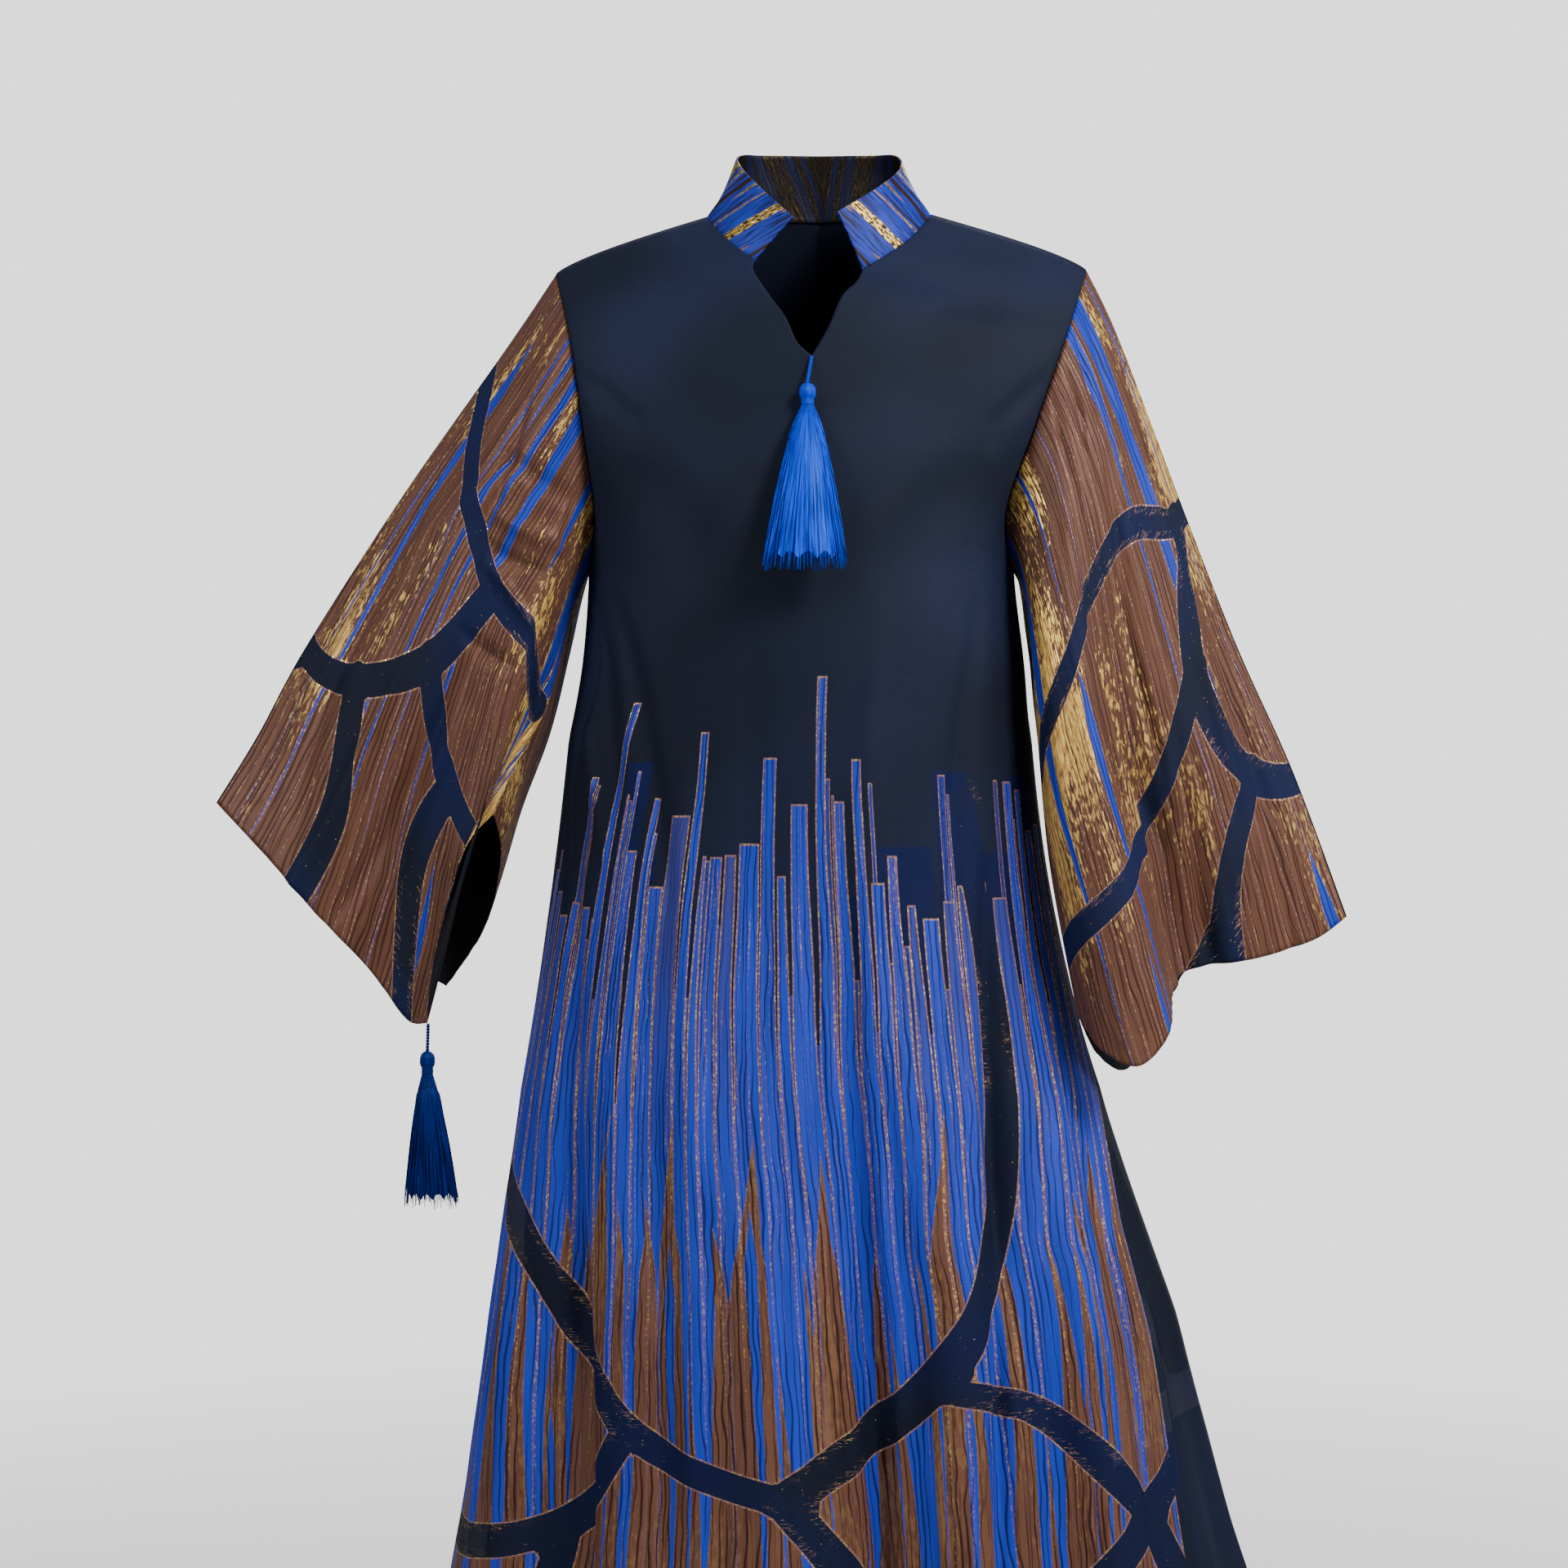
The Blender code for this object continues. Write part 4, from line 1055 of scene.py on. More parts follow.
@dataclass
class Tassel:
    """A tassel of thread under a wound head, on a short twisted cord; its sizes are in millimetres."""

    name: str
    cord_top: tuple
    head_top: tuple
    head_radius: float
    head_length: float
    skirt_end: tuple
    half_width: float
    half_depth: float
    seed: int
    STRANDS = 118
    HEAD_STEPS = 40
    OPENING = (0.14, 0.86, 0.72)
    FLUTE = 0.035
    RAGGED = 0.05
    CORE_WIDTH = 0.88
    CORE_START = 0.66
    ROOT_SHARE = 0.62
    CORE_COLUMNS = 88
    CORE_ROWS = 18
    CORE_REACH = 0.93
    STRAND_RINGS = 9
    STRAND_RADIUS = 0.62
    STRAND_TAPER = 0.55
    STRAND_LIFT = 0.6
    WAVE, WAVE_TURNS, WAVE_SPREAD = 0.7, 4.2, 7.0
    STRAY_EVERY, STRAY_FIRST, STRAY_REACH, STRAY_DEPTH = 13, 5, 14.0, 0.3
    GOLDEN_TURN = 2.399963
    REACH_DRAW = (12.9898, 43758.5453)
    LENGTH_DRAW = (78.233, 12543.123)
    CORD_STEPS = 43
    CORD_PITCH = 4.6
    CORD_OFFSET = 0.78
    CORD_RADIUS = 0.92

    def foot(self) -> Vector:
        """The middle of the head's foot."""
        return Vector(self.head_top) - Vector((0.0, 0.0, self.head_length))

    def head(self, mesh: bmesh.types.BMesh) -> None:
        """Spins the wound head, with a tied neck.

        Args:
            mesh: The tassel's mesh.
        """
        top = Vector(self.head_top)
        verts = [
            mesh.verts.new(top + Vector((radius * self.head_radius, 0.0, -share * self.head_length)))
            for share, radius in HEAD_PROFILE
        ]
        edges = [mesh.edges.new(pair) for pair in zip(verts, verts[1:])]
        turn = {"cent": top, "axis": (0.0, 0.0, 1.0), "angle": math.tau, "steps": self.HEAD_STEPS}
        bmesh.ops.spin(mesh, geom=verts + edges, use_merge=True, **turn)
        bmesh.ops.holes_fill(mesh, edges=[edge for edge in mesh.edges if edge.is_boundary], sides=0)

    def spread(self, share: float) -> float:
        """How far the skirt has opened at a share of its fall."""
        least, rest, power = self.OPENING
        return least + rest * share**power

    def core(self, mesh: bmesh.types.BMesh) -> None:
        """Adds the inner threads as one fluted bell with a ragged end.

        Args:
            mesh: The tassel's mesh.
        """
        made = bmesh.ops.create_grid(mesh, x_segments=self.CORE_COLUMNS, y_segments=self.CORE_ROWS, size=1.0)
        foot = self.foot()
        fall = (Vector(self.skirt_end) - foot) * self.CORE_REACH
        start = self.head_radius * self.CORE_START
        for vert in made["verts"]:
            turn = math.pi * (vert.co.x + 1.0)
            share = (1.0 - vert.co.y) / 2.0
            column = round((vert.co.x + 1.0) / 2.0 * self.CORE_COLUMNS) % self.CORE_COLUMNS
            flute = 1.0 + (self.FLUTE if column % 2 else -self.FLUTE) * min(1.0, share * 4.0)
            worn = abs(math.sin(column * 2.7 + self.seed)) * smoothstep(share * 3.0 - 2.0)
            ragged = 1.0 - self.RAGGED * worn
            opened = self.spread(share) * min(1.0, share * 6.0)
            place = foot + fall * (share * ragged)
            place.x += self.CORE_WIDTH * (start + (self.half_width - start) * opened) * flute * math.cos(turn)
            place.y += self.CORE_WIDTH * (start + (self.half_depth - start) * opened) * flute * math.sin(turn)
            vert.co = place
        bmesh.ops.remove_doubles(mesh, verts=made["verts"], dist=0.01)

    @staticmethod
    def tube(mesh: bmesh.types.BMesh, places: list, radii: list, sides: int) -> None:
        """Extrudes one thread downwards through places.

        Args:
            mesh: The tassel's mesh.
            places: Its middle line, in millimetres.
            radii: Its radius at each place.
            sides: How many sides it has.
        """
        ring = bmesh.ops.create_circle(mesh, segments=sides, radius=radii[0])["verts"]
        first_edges = list({edge for vert in ring for edge in vert.link_edges})
        bmesh.ops.translate(mesh, verts=ring, vec=places[0])
        edges = first_edges
        for last, place, last_radius, radius in zip(places, places[1:], radii, radii[1:]):
            raised = bmesh.ops.extrude_edge_only(mesh, edges=edges)["geom"]
            ring = [item for item in raised if isinstance(item, bmesh.types.BMVert)]
            edges = [item for item in raised if isinstance(item, bmesh.types.BMEdge)]
            bmesh.ops.translate(mesh, verts=ring, vec=place - last)
            for vert in ring:
                vert.co = place + (vert.co - place) * (radius / last_radius)
        bmesh.ops.holes_fill(mesh, edges=first_edges + edges, sides=0)

    def strand(self, mesh: bmesh.types.BMesh, turn: float, reach: float, length: float, stray: float) -> None:
        """Adds one strand from the head's foot to its tip.

        Args:
            mesh: The tassel's mesh.
            turn: Its bearing round the head, in radians.
            reach: How far out it lies, as a share of the skirt.
            length: Its length, as a share of the skirt's fall.
            stray: How far its end wanders, in millimetres.
        """
        foot, end = self.foot(), Vector(self.skirt_end)
        cosine, sine = math.cos(turn), math.sin(turn)
        root = Vector((cosine, sine, 0.0)) * self.head_radius * self.ROOT_SHARE
        places = [foot + root + Vector((0.0, 0.0, self.STRAND_LIFT))]
        for step in range(1, self.STRAND_RINGS + 1):
            share = step / self.STRAND_RINGS
            opened = self.spread(share) * reach
            wave = self.WAVE * math.sin(self.WAVE_TURNS * share + turn * self.WAVE_SPREAD) * share
            place = foot + (end - foot) * share * length
            place.x += (self.half_width * opened + stray * share**2) * cosine + wave
            place.y += (self.half_depth * opened + self.STRAY_DEPTH * stray * share**2) * sine - wave
            places.append(place)
        narrowing = [1.0 - self.STRAND_TAPER * step / self.STRAND_RINGS for step in range(len(places))]
        radii = [self.STRAND_RADIUS * share for share in narrowing]
        self.tube(mesh, places, radii, 3)

    def finished(self, mesh: bmesh.types.BMesh, kind: str, node: str) -> bpy.types.Object:
        """Turns a mesh in millimetres into a piece.

        Args:
            mesh: The mesh, which is used up.
            kind: The end of the piece's name.
            node: The solid that it stands for.

        Returns:
            The piece.
        """
        bmesh.ops.recalc_face_normals(mesh, faces=mesh.faces)
        bmesh.ops.scale(mesh, verts=mesh.verts, vec=(MM, MM, MM))
        return new_piece(f"{self.name}_{kind}", mesh, node, "tassel_thread")

    def draw(self, number: int, turn: float, scale: float) -> float:
        """A share from 0 to 1 that looks drawn by chance, the same at each run."""
        return math.sin(number * turn + self.seed) * scale % 1.0

    def threads(self) -> bpy.types.Object:
        """Builds the head, the inner threads and the outer strands.

        Returns:
            The finished tassel.
        """
        mesh = bmesh.new()
        self.head(mesh)
        self.core(mesh)
        for number in range(self.STRANDS):
            unsteady = self.draw(number, *self.REACH_DRAW)
            reach, length = 0.90 + 0.16 * unsteady, 0.92 + 0.08 * self.draw(number, *self.LENGTH_DRAW)
            is_stray = number % self.STRAY_EVERY == self.STRAY_FIRST
            stray = self.STRAY_REACH * (unsteady - 0.2) if is_stray else 0.0
            self.strand(mesh, number * self.GOLDEN_TURN, reach, length, stray)
        around = mesh.loops.layers.uv.new("cloth")
        foot = self.foot()
        for loop in (loop for face in mesh.faces for loop in face.loops):
            away = loop.vert.co - foot
            loop[around].uv = (math.atan2(away.y, away.x) / math.tau, away.z * MM)
        return self.finished(mesh, "threads", self.name)

    def cord(self) -> bpy.types.Object:
        """Builds the twisted cord: two strands wound round each other, from the cloth to the head.

        Returns:
            The finished cord.
        """
        start = Vector(self.cord_top)
        run = Vector(self.head_top) - start
        side = run.cross(Vector((0.0, 1.0, 0.0))).normalized()
        depth = run.cross(side).normalized()
        mesh = bmesh.new()
        mesh.loops.layers.uv.new("cloth")
        shares = [number / self.CORD_STEPS for number in range(self.CORD_STEPS + 1)]
        for strand in range(2):
            turns = [math.pi * strand + share * run.length / self.CORD_PITCH * math.tau for share in shares]
            places = [
                start + run * share + (side * math.cos(turn) + depth * math.sin(turn)) * self.CORD_OFFSET
                for share, turn in zip(shares, turns)
            ]
            self.tube(mesh, places, [self.CORD_RADIUS] * len(places), 6)
        return self.finished(mesh, "cord_twist", f"{self.name}_cord")


def arithmetic(operation: str, turned: bool = False) -> Callable:
    """Makes an operator of Signal.

    Args:
        operation: What the math node does.
        turned: Whether the other value comes first.

    Returns:
        The method.
    """

    def method(self: "Signal", other: object) -> "Signal":
        """Joins this value and another by a math node."""
        return self.wire.math(operation, *((other, self) if turned else (self, other)))

    return method


class Signal:
    """A value in a node tree, which adds, multiplies and compares as a number does.

    The bar takes the greater of two values and the ampersand the lesser.
    """

    def __init__(self, wire: "Wiring", socket: bpy.types.NodeSocket) -> None:
        """Keeps the value's wiring and socket."""
        self.wire = wire
        self.socket = socket

    __add__ = arithmetic("ADD")
    __sub__ = arithmetic("SUBTRACT")
    __rsub__ = arithmetic("SUBTRACT", turned=True)
    __mul__ = arithmetic("MULTIPLY")
    __truediv__ = arithmetic("DIVIDE")
    __pow__ = arithmetic("POWER")
    __gt__ = arithmetic("GREATER_THAN")
    __lt__ = arithmetic("LESS_THAN")
    __or__ = arithmetic("MAXIMUM")
    __and__ = arithmetic("MINIMUM")

    def __abs__(self) -> "Signal":
        """The value without its sign."""
        return self.wire.math("ABSOLUTE", self)

    def span(self, low: object, high: object, start: object = 0.0, end: object = 1.0) -> "Signal":
        """The value moved from one span to another, and held at its ends."""
        inputs = {0: self, 1: low, 2: high, 3: start, 4: end}
        return Signal(self.wire, self.wire.node("MapRange", inputs, clamp=True).outputs[0])

    def within(self, inner: float, outer: float) -> "Signal":
        """1 up to the inner distance, which fades to 0 at the outer one."""
        return self.span(inner, outer, 1.0, 0.0)


class Wiring:
    """Adds nodes to one tree and joins them."""

    def __init__(self, tree: bpy.types.NodeTree) -> None:
        """Keeps the tree."""
        self.tree = tree

    def node(self, kind: str, inputs: dict | None = None, **settings: object) -> bpy.types.Node:
        """Adds a node.

        Args:
            kind: Blender's name of the node, without its prefix.
            inputs: Values or sockets for the named or numbered inputs.
            settings: The node's own settings.

        Returns:
            The node.
        """
        made = self.tree.nodes.new(f"ShaderNode{kind}")
        for setting, value in settings.items():
            setattr(made, setting, value)
        self.feed(made, inputs or {})
        return made

    def feed(self, node: bpy.types.Node, inputs: dict) -> None:
        """Gives a node's inputs their values, or joins them to other sockets.

        Args:
            node: The node.
            inputs: Values or sockets for the named or numbered inputs.
        """
        for key, value in inputs.items():
            value = value.socket if isinstance(value, Signal) else value
            if isinstance(value, bpy.types.NodeSocket):
                self.tree.links.new(value, node.inputs[key])
            else:
                node.inputs[key].default_value = value

    def read(self, output: object, kind: str, inputs: dict | None = None, **settings: object) -> Signal:
        """Adds a node and reads one of its outputs."""
        return Signal(self, self.node(kind, inputs, **settings).outputs[output])

    def math(self, operation: str, first: object, second: object = 0.0) -> Signal:
        """A sum, product or comparison of two values."""
        return self.read(0, "Math", {0: first, 1: second}, operation=operation)

    def mix(self, share: object, first: object, second: object) -> Signal:
        """A mixed colour."""
        inputs = {"Factor": share, 6: first, 7: second}
        return self.read(2, "Mix", inputs, data_type="RGBA", clamp_factor=True)

    def place(self, x: object, y: object, z: object = 0.0) -> Signal:
        """A vector from three values."""
        return self.read(0, "CombineXYZ", {0: x, 1: y, 2: z})

    def cloth(self) -> tuple:
        """The distance across the cloth and the height on it, in metres, from the mesh."""
        parts = self.node("SeparateXYZ", {0: self.node("UVMap", uv_map="cloth").outputs["UV"]}).outputs
        return Signal(self, parts[0]), Signal(self, parts[1])

    def grain(self, kind: Grain, across: object, up: object, seed: object = 0.0) -> Signal:
        """Noise from 0 to 1 that is stretched along the cloth.

        Args:
            kind: The grain's size, place and detail.
            across: The distance across the cloth, in metres.
            up: The height on the cloth, in metres.
            seed: Where this cloth reads the noise.

        Returns:
            The noise.
        """
        place = self.place(across * kind.wide, up * kind.tall, seed + kind.shift)
        inputs = {"Vector": place, "Scale": 1.0, "Detail": kind.detail, "Roughness": 0.55}
        return self.read("Fac", "TexNoise", inputs)


class Upright:
    """A row of uneven upright cells across the cloth, with chances and edges for each."""

    def __init__(self, wire: Wiring, across: Signal, seed: object, per_metre: float) -> None:
        """Reads the cells.

        Args:
            wire: The group's wiring.
            across: The distance across the cloth, in metres.
            seed: Where the row is read.
            per_metre: How many cells a metre has.
        """
        inputs = {"W": (across + seed) * per_metre, "Scale": 1.0}
        cells = wire.node("TexVoronoi", inputs, voronoi_dimensions="1D").outputs
        to_edge = {"voronoi_dimensions": "1D", "feature": "DISTANCE_TO_EDGE"}
        chances = wire.node("SeparateColor", {0: cells["Color"]}).outputs
        self.wire = wire
        self.chance = [Signal(wire, chances[number]) for number in range(3)]
        self.edge = wire.read("Distance", "TexVoronoi", inputs, **to_edge) / per_metre
        self.away = Signal(wire, cells["Distance"]) / per_metre
        self.centre = Signal(wire, cells["W"]) / per_metre

    def spindle(self, up: Signal, period: float, half_width: float, share: Signal, single: object) -> Signal:
        """How far inside a long streak each point is: each starts wide, narrows downwards and begins again.

        Args:
            up: The height on the cloth, in metres.
            period: How far down a streak and its gap reach, in metres.
            half_width: Half a streak's greatest width, in metres.
            share: How wide the streaks are at each height.
            single: 1 where each cell has one long streak from the skyline down, instead of repeated ones.

        Returns:
            The distance in metres, negative outside the streak.
        """
        repeated = 1.0 - single
        place = self.chance[0] * 7.0 - up / period
        fallen = ((SKYLINE_TOP - up) / self.chance[0].span(0.0, 1.0, *STREAK_REACH)).span(0.0, 1.0, 0.12, 1.0)
        phase = self.wire.math("FRACT", place) * repeated + fallen * single
        turn = self.wire.place(self.wire.math("FLOOR", place) * repeated, self.chance[1])
        luck = self.wire.read("Value", "TexWhiteNoise", {"Vector": turn}, noise_dimensions="2D")
        least = repeated * 0.65 - 0.33
        width = luck.span(least, 1.0) * (1.0 - phase) ** 0.75 * phase.span(0.0, 0.10) * share
        width = width + share.span(*COVERED_SHARES, 0.0, 3.0)
        return width * half_width - self.away


class WovenFigure:
    """The woven figure: blue columns that rise to uneven tops, blue and bronze streaks, and dark bands."""

    PATCHES_FROM = 0.35
    FLOATS_FROM = 0.60
    MAUVE_FROM = 0.74
    DUST_FROM = 0.86
    TALL_SHARES = (0.42, 0.62)
    ALWAYS = 9.0
    INPUTS = ("Figure", "Band", "Seed", "Skyline", "Blue High", "Blue Low", "High", "Low", "Lurex", "Furrows")
    OUTPUTS = {"Colour": "Color", "Woven": "Float", "Metal": "Float", "Rough": "Float", "Relief": "Float"}

    def __init__(self) -> None:
        """Makes the empty group and reads its inputs."""
        self.tree = bpy.data.node_groups.new("woven figure", "ShaderNodeTree")
        kinds = {"Cloth": "Vector", **{name: "Float" for name in self.INPUTS}}
        for side, sockets in (("INPUT", kinds), ("OUTPUT", self.OUTPUTS)):
            for name, kind in sockets.items():
                self.tree.interface.new_socket(name, in_out=side, socket_type=f"NodeSocket{kind}")
        self.wire = Wiring(self.tree)
        entry = self.tree.nodes.new("NodeGroupInput").outputs
        self.given = {name: Signal(self.wire, entry[name]) for name in self.INPUTS}
        parts = self.wire.node("SeparateXYZ", {0: entry["Cloth"]}).outputs
        self.across, self.up = Signal(self.wire, parts[0]), Signal(self.wire, parts[1])
        self.seed, self.skyline = self.given["Seed"], self.given["Skyline"]
        self.bent = self.across + (self.flat(SWAY) - 0.5) * SWAY_REACH

    def flat(self, kind: Grain) -> Signal:
        """Noise on the plain cloth."""
        return self.wire.grain(kind, self.across, self.up, self.seed)

    def along(self, kind: Grain) -> Signal:
        """Noise that sways with the columns."""
        return self.wire.grain(kind, self.bent, self.up, self.seed)

    def cells(self, row: CellRow, across: Signal | None = None) -> Upright:
        """A row of upright cells that sways with the columns."""
        return Upright(self.wire, across or self.bent, self.seed + row.shift, row.per_metre)

    def skyline_columns(self) -> None:
        """Finds the broad and thin columns, and the silky patches between their tops."""
        up, skyline = self.up, self.skyline
        always = (1.0 - skyline) * self.ALWAYS
        self.rows = self.flat(ROWS)
        self.fringe = self.rows.span(0.35, 0.70)
        self.part_way = up.span(SKYLINE_FOOT - 0.16, SKYLINE_FOOT + 0.04)

        self.columns = self.cells(COLUMNS)
        cluster = self.wire.grain(CLUSTERS, self.columns.centre, 0.0, self.seed).span(0.36, 0.64)
        rise = cluster * self.TALL_SHARES[0] + self.columns.chance[0] ** 2.4 * self.TALL_SHARES[1]
        self.below = rise.span(0.0, 1.0, SKYLINE_FOOT, SKYLINE_TOP) - up + always
        gap = self.columns.chance[1] * self.part_way * skyline * COLUMN_GAP
        self.inside = self.columns.edge - gap
        self.column = (self.below > 0.0) * (self.inside > 0.0)

        self.thin = self.cells(THIN_COLUMNS)
        thin_top = (self.thin.chance[0] ** 1.5).span(0.0, 1.0, SKYLINE_FOOT - 0.06, SKYLINE_TOP - 0.11)
        self.thin_below = thin_top - up + always
        self.thin_inside = self.thin.edge - THIN_GAP
        there = self.thin.chance[1] > self.part_way * 0.5
        thin_column = (self.thin_below > 0.0) * (self.thin_inside > 0.0) * there
        self.shown = self.column | thin_column

        patches = self.cells(PATCHES)
        patch_top = patches.chance[0].span(0.0, 1.0, SKYLINE_FOOT, SKYLINE_TOP - 0.10)
        patch_side = patches.edge - self.fringe * FRINGE
        self.patch = (up < patch_top) * (patch_side > 0.0) * (patches.chance[1] > self.PATCHES_FROM)

    def streaked(self) -> Signal:
        """Blue cloth that gives way to bronze between its streaks, with wrinkles darkened by painted shade,
        and flecks of gold that are partly lurex and partly painted highlight.

        Returns:
            The colour.
        """
        up, given, mix = self.up, self.given, self.wire.mix
        share = up.span(given["High"], given["Low"], given["Blue High"], given["Blue Low"])
        broad, thin = STREAKS
        over = self.cells(broad).spindle(up, broad.period, broad.half_width, share, self.skyline)
        thin_share = share * (self.skyline * 0.45)
        over = over | self.cells(thin).spindle(up, thin.period, thin.half_width, thin_share, 0.0)
        self.bronze = over.within(-0.0002, 0.0002)
        streak_edge = abs(over).within(*STREAK_LINE)

        self.ridge = self.along(RIDGES)
        waved = self.bent + (self.flat(WAVER) - 0.5) * WAVER_REACH
        wrinkles = self.cells(WRINKLES, waved)
        running = self.wire.grain(RUNNING, wrinkles.centre, up, self.seed)
        self.furrow = (wrinkles.edge - running.span(0.36, 0.60, 0.0, WRINKLE_WIDTH)).within(*HAIRLINE)
        # The blue is painted darker in the crinkle's valleys and furrows, as painted shade that follows the
        # relief.
        self.blue = mix(self.ridge.span(0.34, 0.58, 0.74, 1.0), BLUE_SHADED, BLUE)
        self.blue = mix(self.furrow * 0.90, self.blue, BLUE_SHADED)
        lines = self.along(LINES)
        # Thin dark lines and the furrows darken the bronze; along the furrows this is painted shade.
        dark_lines = abs(lines - 0.5).within(0.006, 0.032) * 0.5 | self.furrow
        brown = mix(lines.span(0.30, 0.70, 0.72, 1.0), BRONZE_DEEP, BRONZE)
        brown = mix(dark_lines * given["Furrows"], brown, BRONZE_DEEP)
        cloth = mix(self.bronze, self.blue, brown)

        # Gold patches with bright and dark flecks are partly lurex thread and partly painted highlight where
        # folds catch the light, and they grow towards the top, where more light falls.
        flecks = self.along(FLECKS)
        area = self.flat(WIDE_AREAS) * 0.55 + self.along(LONG_AREAS) * 0.45
        ragged = (area + (flecks - 0.5) * 0.42).span(*GOLD_FROM)
        gold = ragged * self.bronze * up.span(*GOLD_HIGHLIGHT_RISE) * given["Lurex"]
        self.lurex = gold * dark_lines.span(0.0, 1.0, 1.0, 0.15)
        # The copper outline thread is flecked with bright gold where the sparks are, which is painted glints.
        self.spark = self.along(SPARKS).span(0.54, 0.68)
        self.piping_and_glints = mix(self.spark, COPPER, GOLD)
        thread_line = abs(self.along(THREADS) - 0.44).within(0.003, 0.010)
        threaded = thread_line * up.span(THREADS_END, THREADS_END + 0.35) * self.skyline * 0.50
        self.rims = streak_edge * up.span(*STREAK_RISE) | threaded
        cloth = mix(self.rims, cloth, self.piping_and_glints)
        return mix(self.lurex, cloth, mix(flecks.span(0.38, 0.60), GOLD_DEEP, GOLD))

    def edged(self, cloth: Signal) -> Signal:
        """Adds mauve columns, and copper outlines on columns and bands.

        Args:
            cloth: The streaked colour.

        Returns:
            The colour of the woven figure.
        """
        mix, given = self.wire.mix, self.given
        tint = (self.columns.chance[2] > self.MAUVE_FROM) * self.part_way * self.skyline * 0.85
        cloth = mix(tint, cloth, MAUVE)
        fresh = (self.below - self.columns.chance[1] * 0.16).within(*OUTLINE_FADE)
        self.column_edge = (self.inside.within(*OUTLINE) | self.below.within(*CAP_LINE)) * fresh
        cloth = mix(self.column_edge * 0.9, cloth, self.piping_and_glints)
        thin_line = self.thin_inside.within(*THIN_LINE) | self.thin_below.within(*THIN_CAP_LINE)
        thin_cloth = mix(thin_line * 0.9, mix(self.thin.chance[2], MAUVE, self.blue), self.piping_and_glints)
        cloth = mix(self.column, thin_cloth, cloth)
        self.rim_line = (abs(given["Band"]) & abs(given["Figure"])).within(*OUTLINE) * self.shown
        return mix(self.rim_line * 0.85, cloth, self.piping_and_glints)

    def ground(self, in_figure: Signal, off_band: Signal) -> Signal:
        """The dark ground, with silky areas, patches, floats at the bands' rims and dust of gold.

        Args:
            in_figure: 1 inside the plain side strips.
            off_band: 1 outside the dark bands.

        Returns:
            The colour of the ground.
        """
        mix, band = self.wire.mix, self.given["Band"]
        self.weave = self.flat(WEAVE)
        silk_area = self.flat(SILK_AREAS).span(0.40, 0.62)
        ground = mix(silk_area * self.weave.span(0.35, 0.65, 0.3, 1.0), GROUND, GROUND_SILK)
        patched = self.patch * (off_band & in_figure) * self.skyline * self.weave.span(0.30, 0.60, 0.55, 1.0)
        ground = mix(patched | (1.0 - off_band) * silk_area * 0.65, ground, GROUND_BLUE)
        near_rim = abs(band) < self.fringe * FLOAT_REACH
        floats = near_rim * in_figure * self.flat(FLOAT_AREAS).span(0.54, 0.62)
        ground = mix(floats * (self.rows > self.FLOATS_FROM) * 0.55, ground, self.piping_and_glints)
        dust = (self.flat(DUST) > self.DUST_FROM) * band.within(-0.002, 0.0)
        return mix(dust * 0.5, ground, GOLD)

    def build(self) -> bpy.types.NodeTree:
        """Joins the parts.

        Returns:
            The node group.
        """
        self.skyline_columns()
        cloth = self.edged(self.streaked())
        in_figure, off_band = self.given["Figure"] > 0.0, self.given["Band"] > 0.0
        woven = self.shown * in_figure * off_band
        colour = self.wire.mix(woven, self.ground(in_figure, off_band), cloth)
        glitter = (self.column_edge | self.rim_line | self.rims) * self.spark.span(0.0, 1.0, 0.25, 0.9)
        metal = woven * (self.lurex * 0.55 | glitter) | woven * self.bronze * self.column * 0.10
        rough = metal.span(0.0, 1.0, woven.span(0.0, 1.0, 0.72, 0.50), 0.26)
        heights = self.ridge * 0.80 + self.along(FINE_RIDGES) * 0.30 - self.furrow * 0.30 + self.lurex * 0.10
        relief = self.wire.mix(woven, self.weave * 0.035, heights)
        leave = self.tree.nodes.new("NodeGroupOutput")
        values = {"Colour": colour, "Woven": woven, "Metal": metal, "Rough": rough, "Relief": relief}
        self.wire.feed(leave, values)
        return self.tree


def new_material(name: str) -> tuple:
    """Makes a material with one Principled shader.

    Args:
        name: The material's name.

    Returns:
        The material, its wiring and its shader node.
    """
    material = bpy.data.materials.new(name)
    material.use_nodes = True
    return material, Wiring(material.node_tree), material.node_tree.nodes["Principled BSDF"]


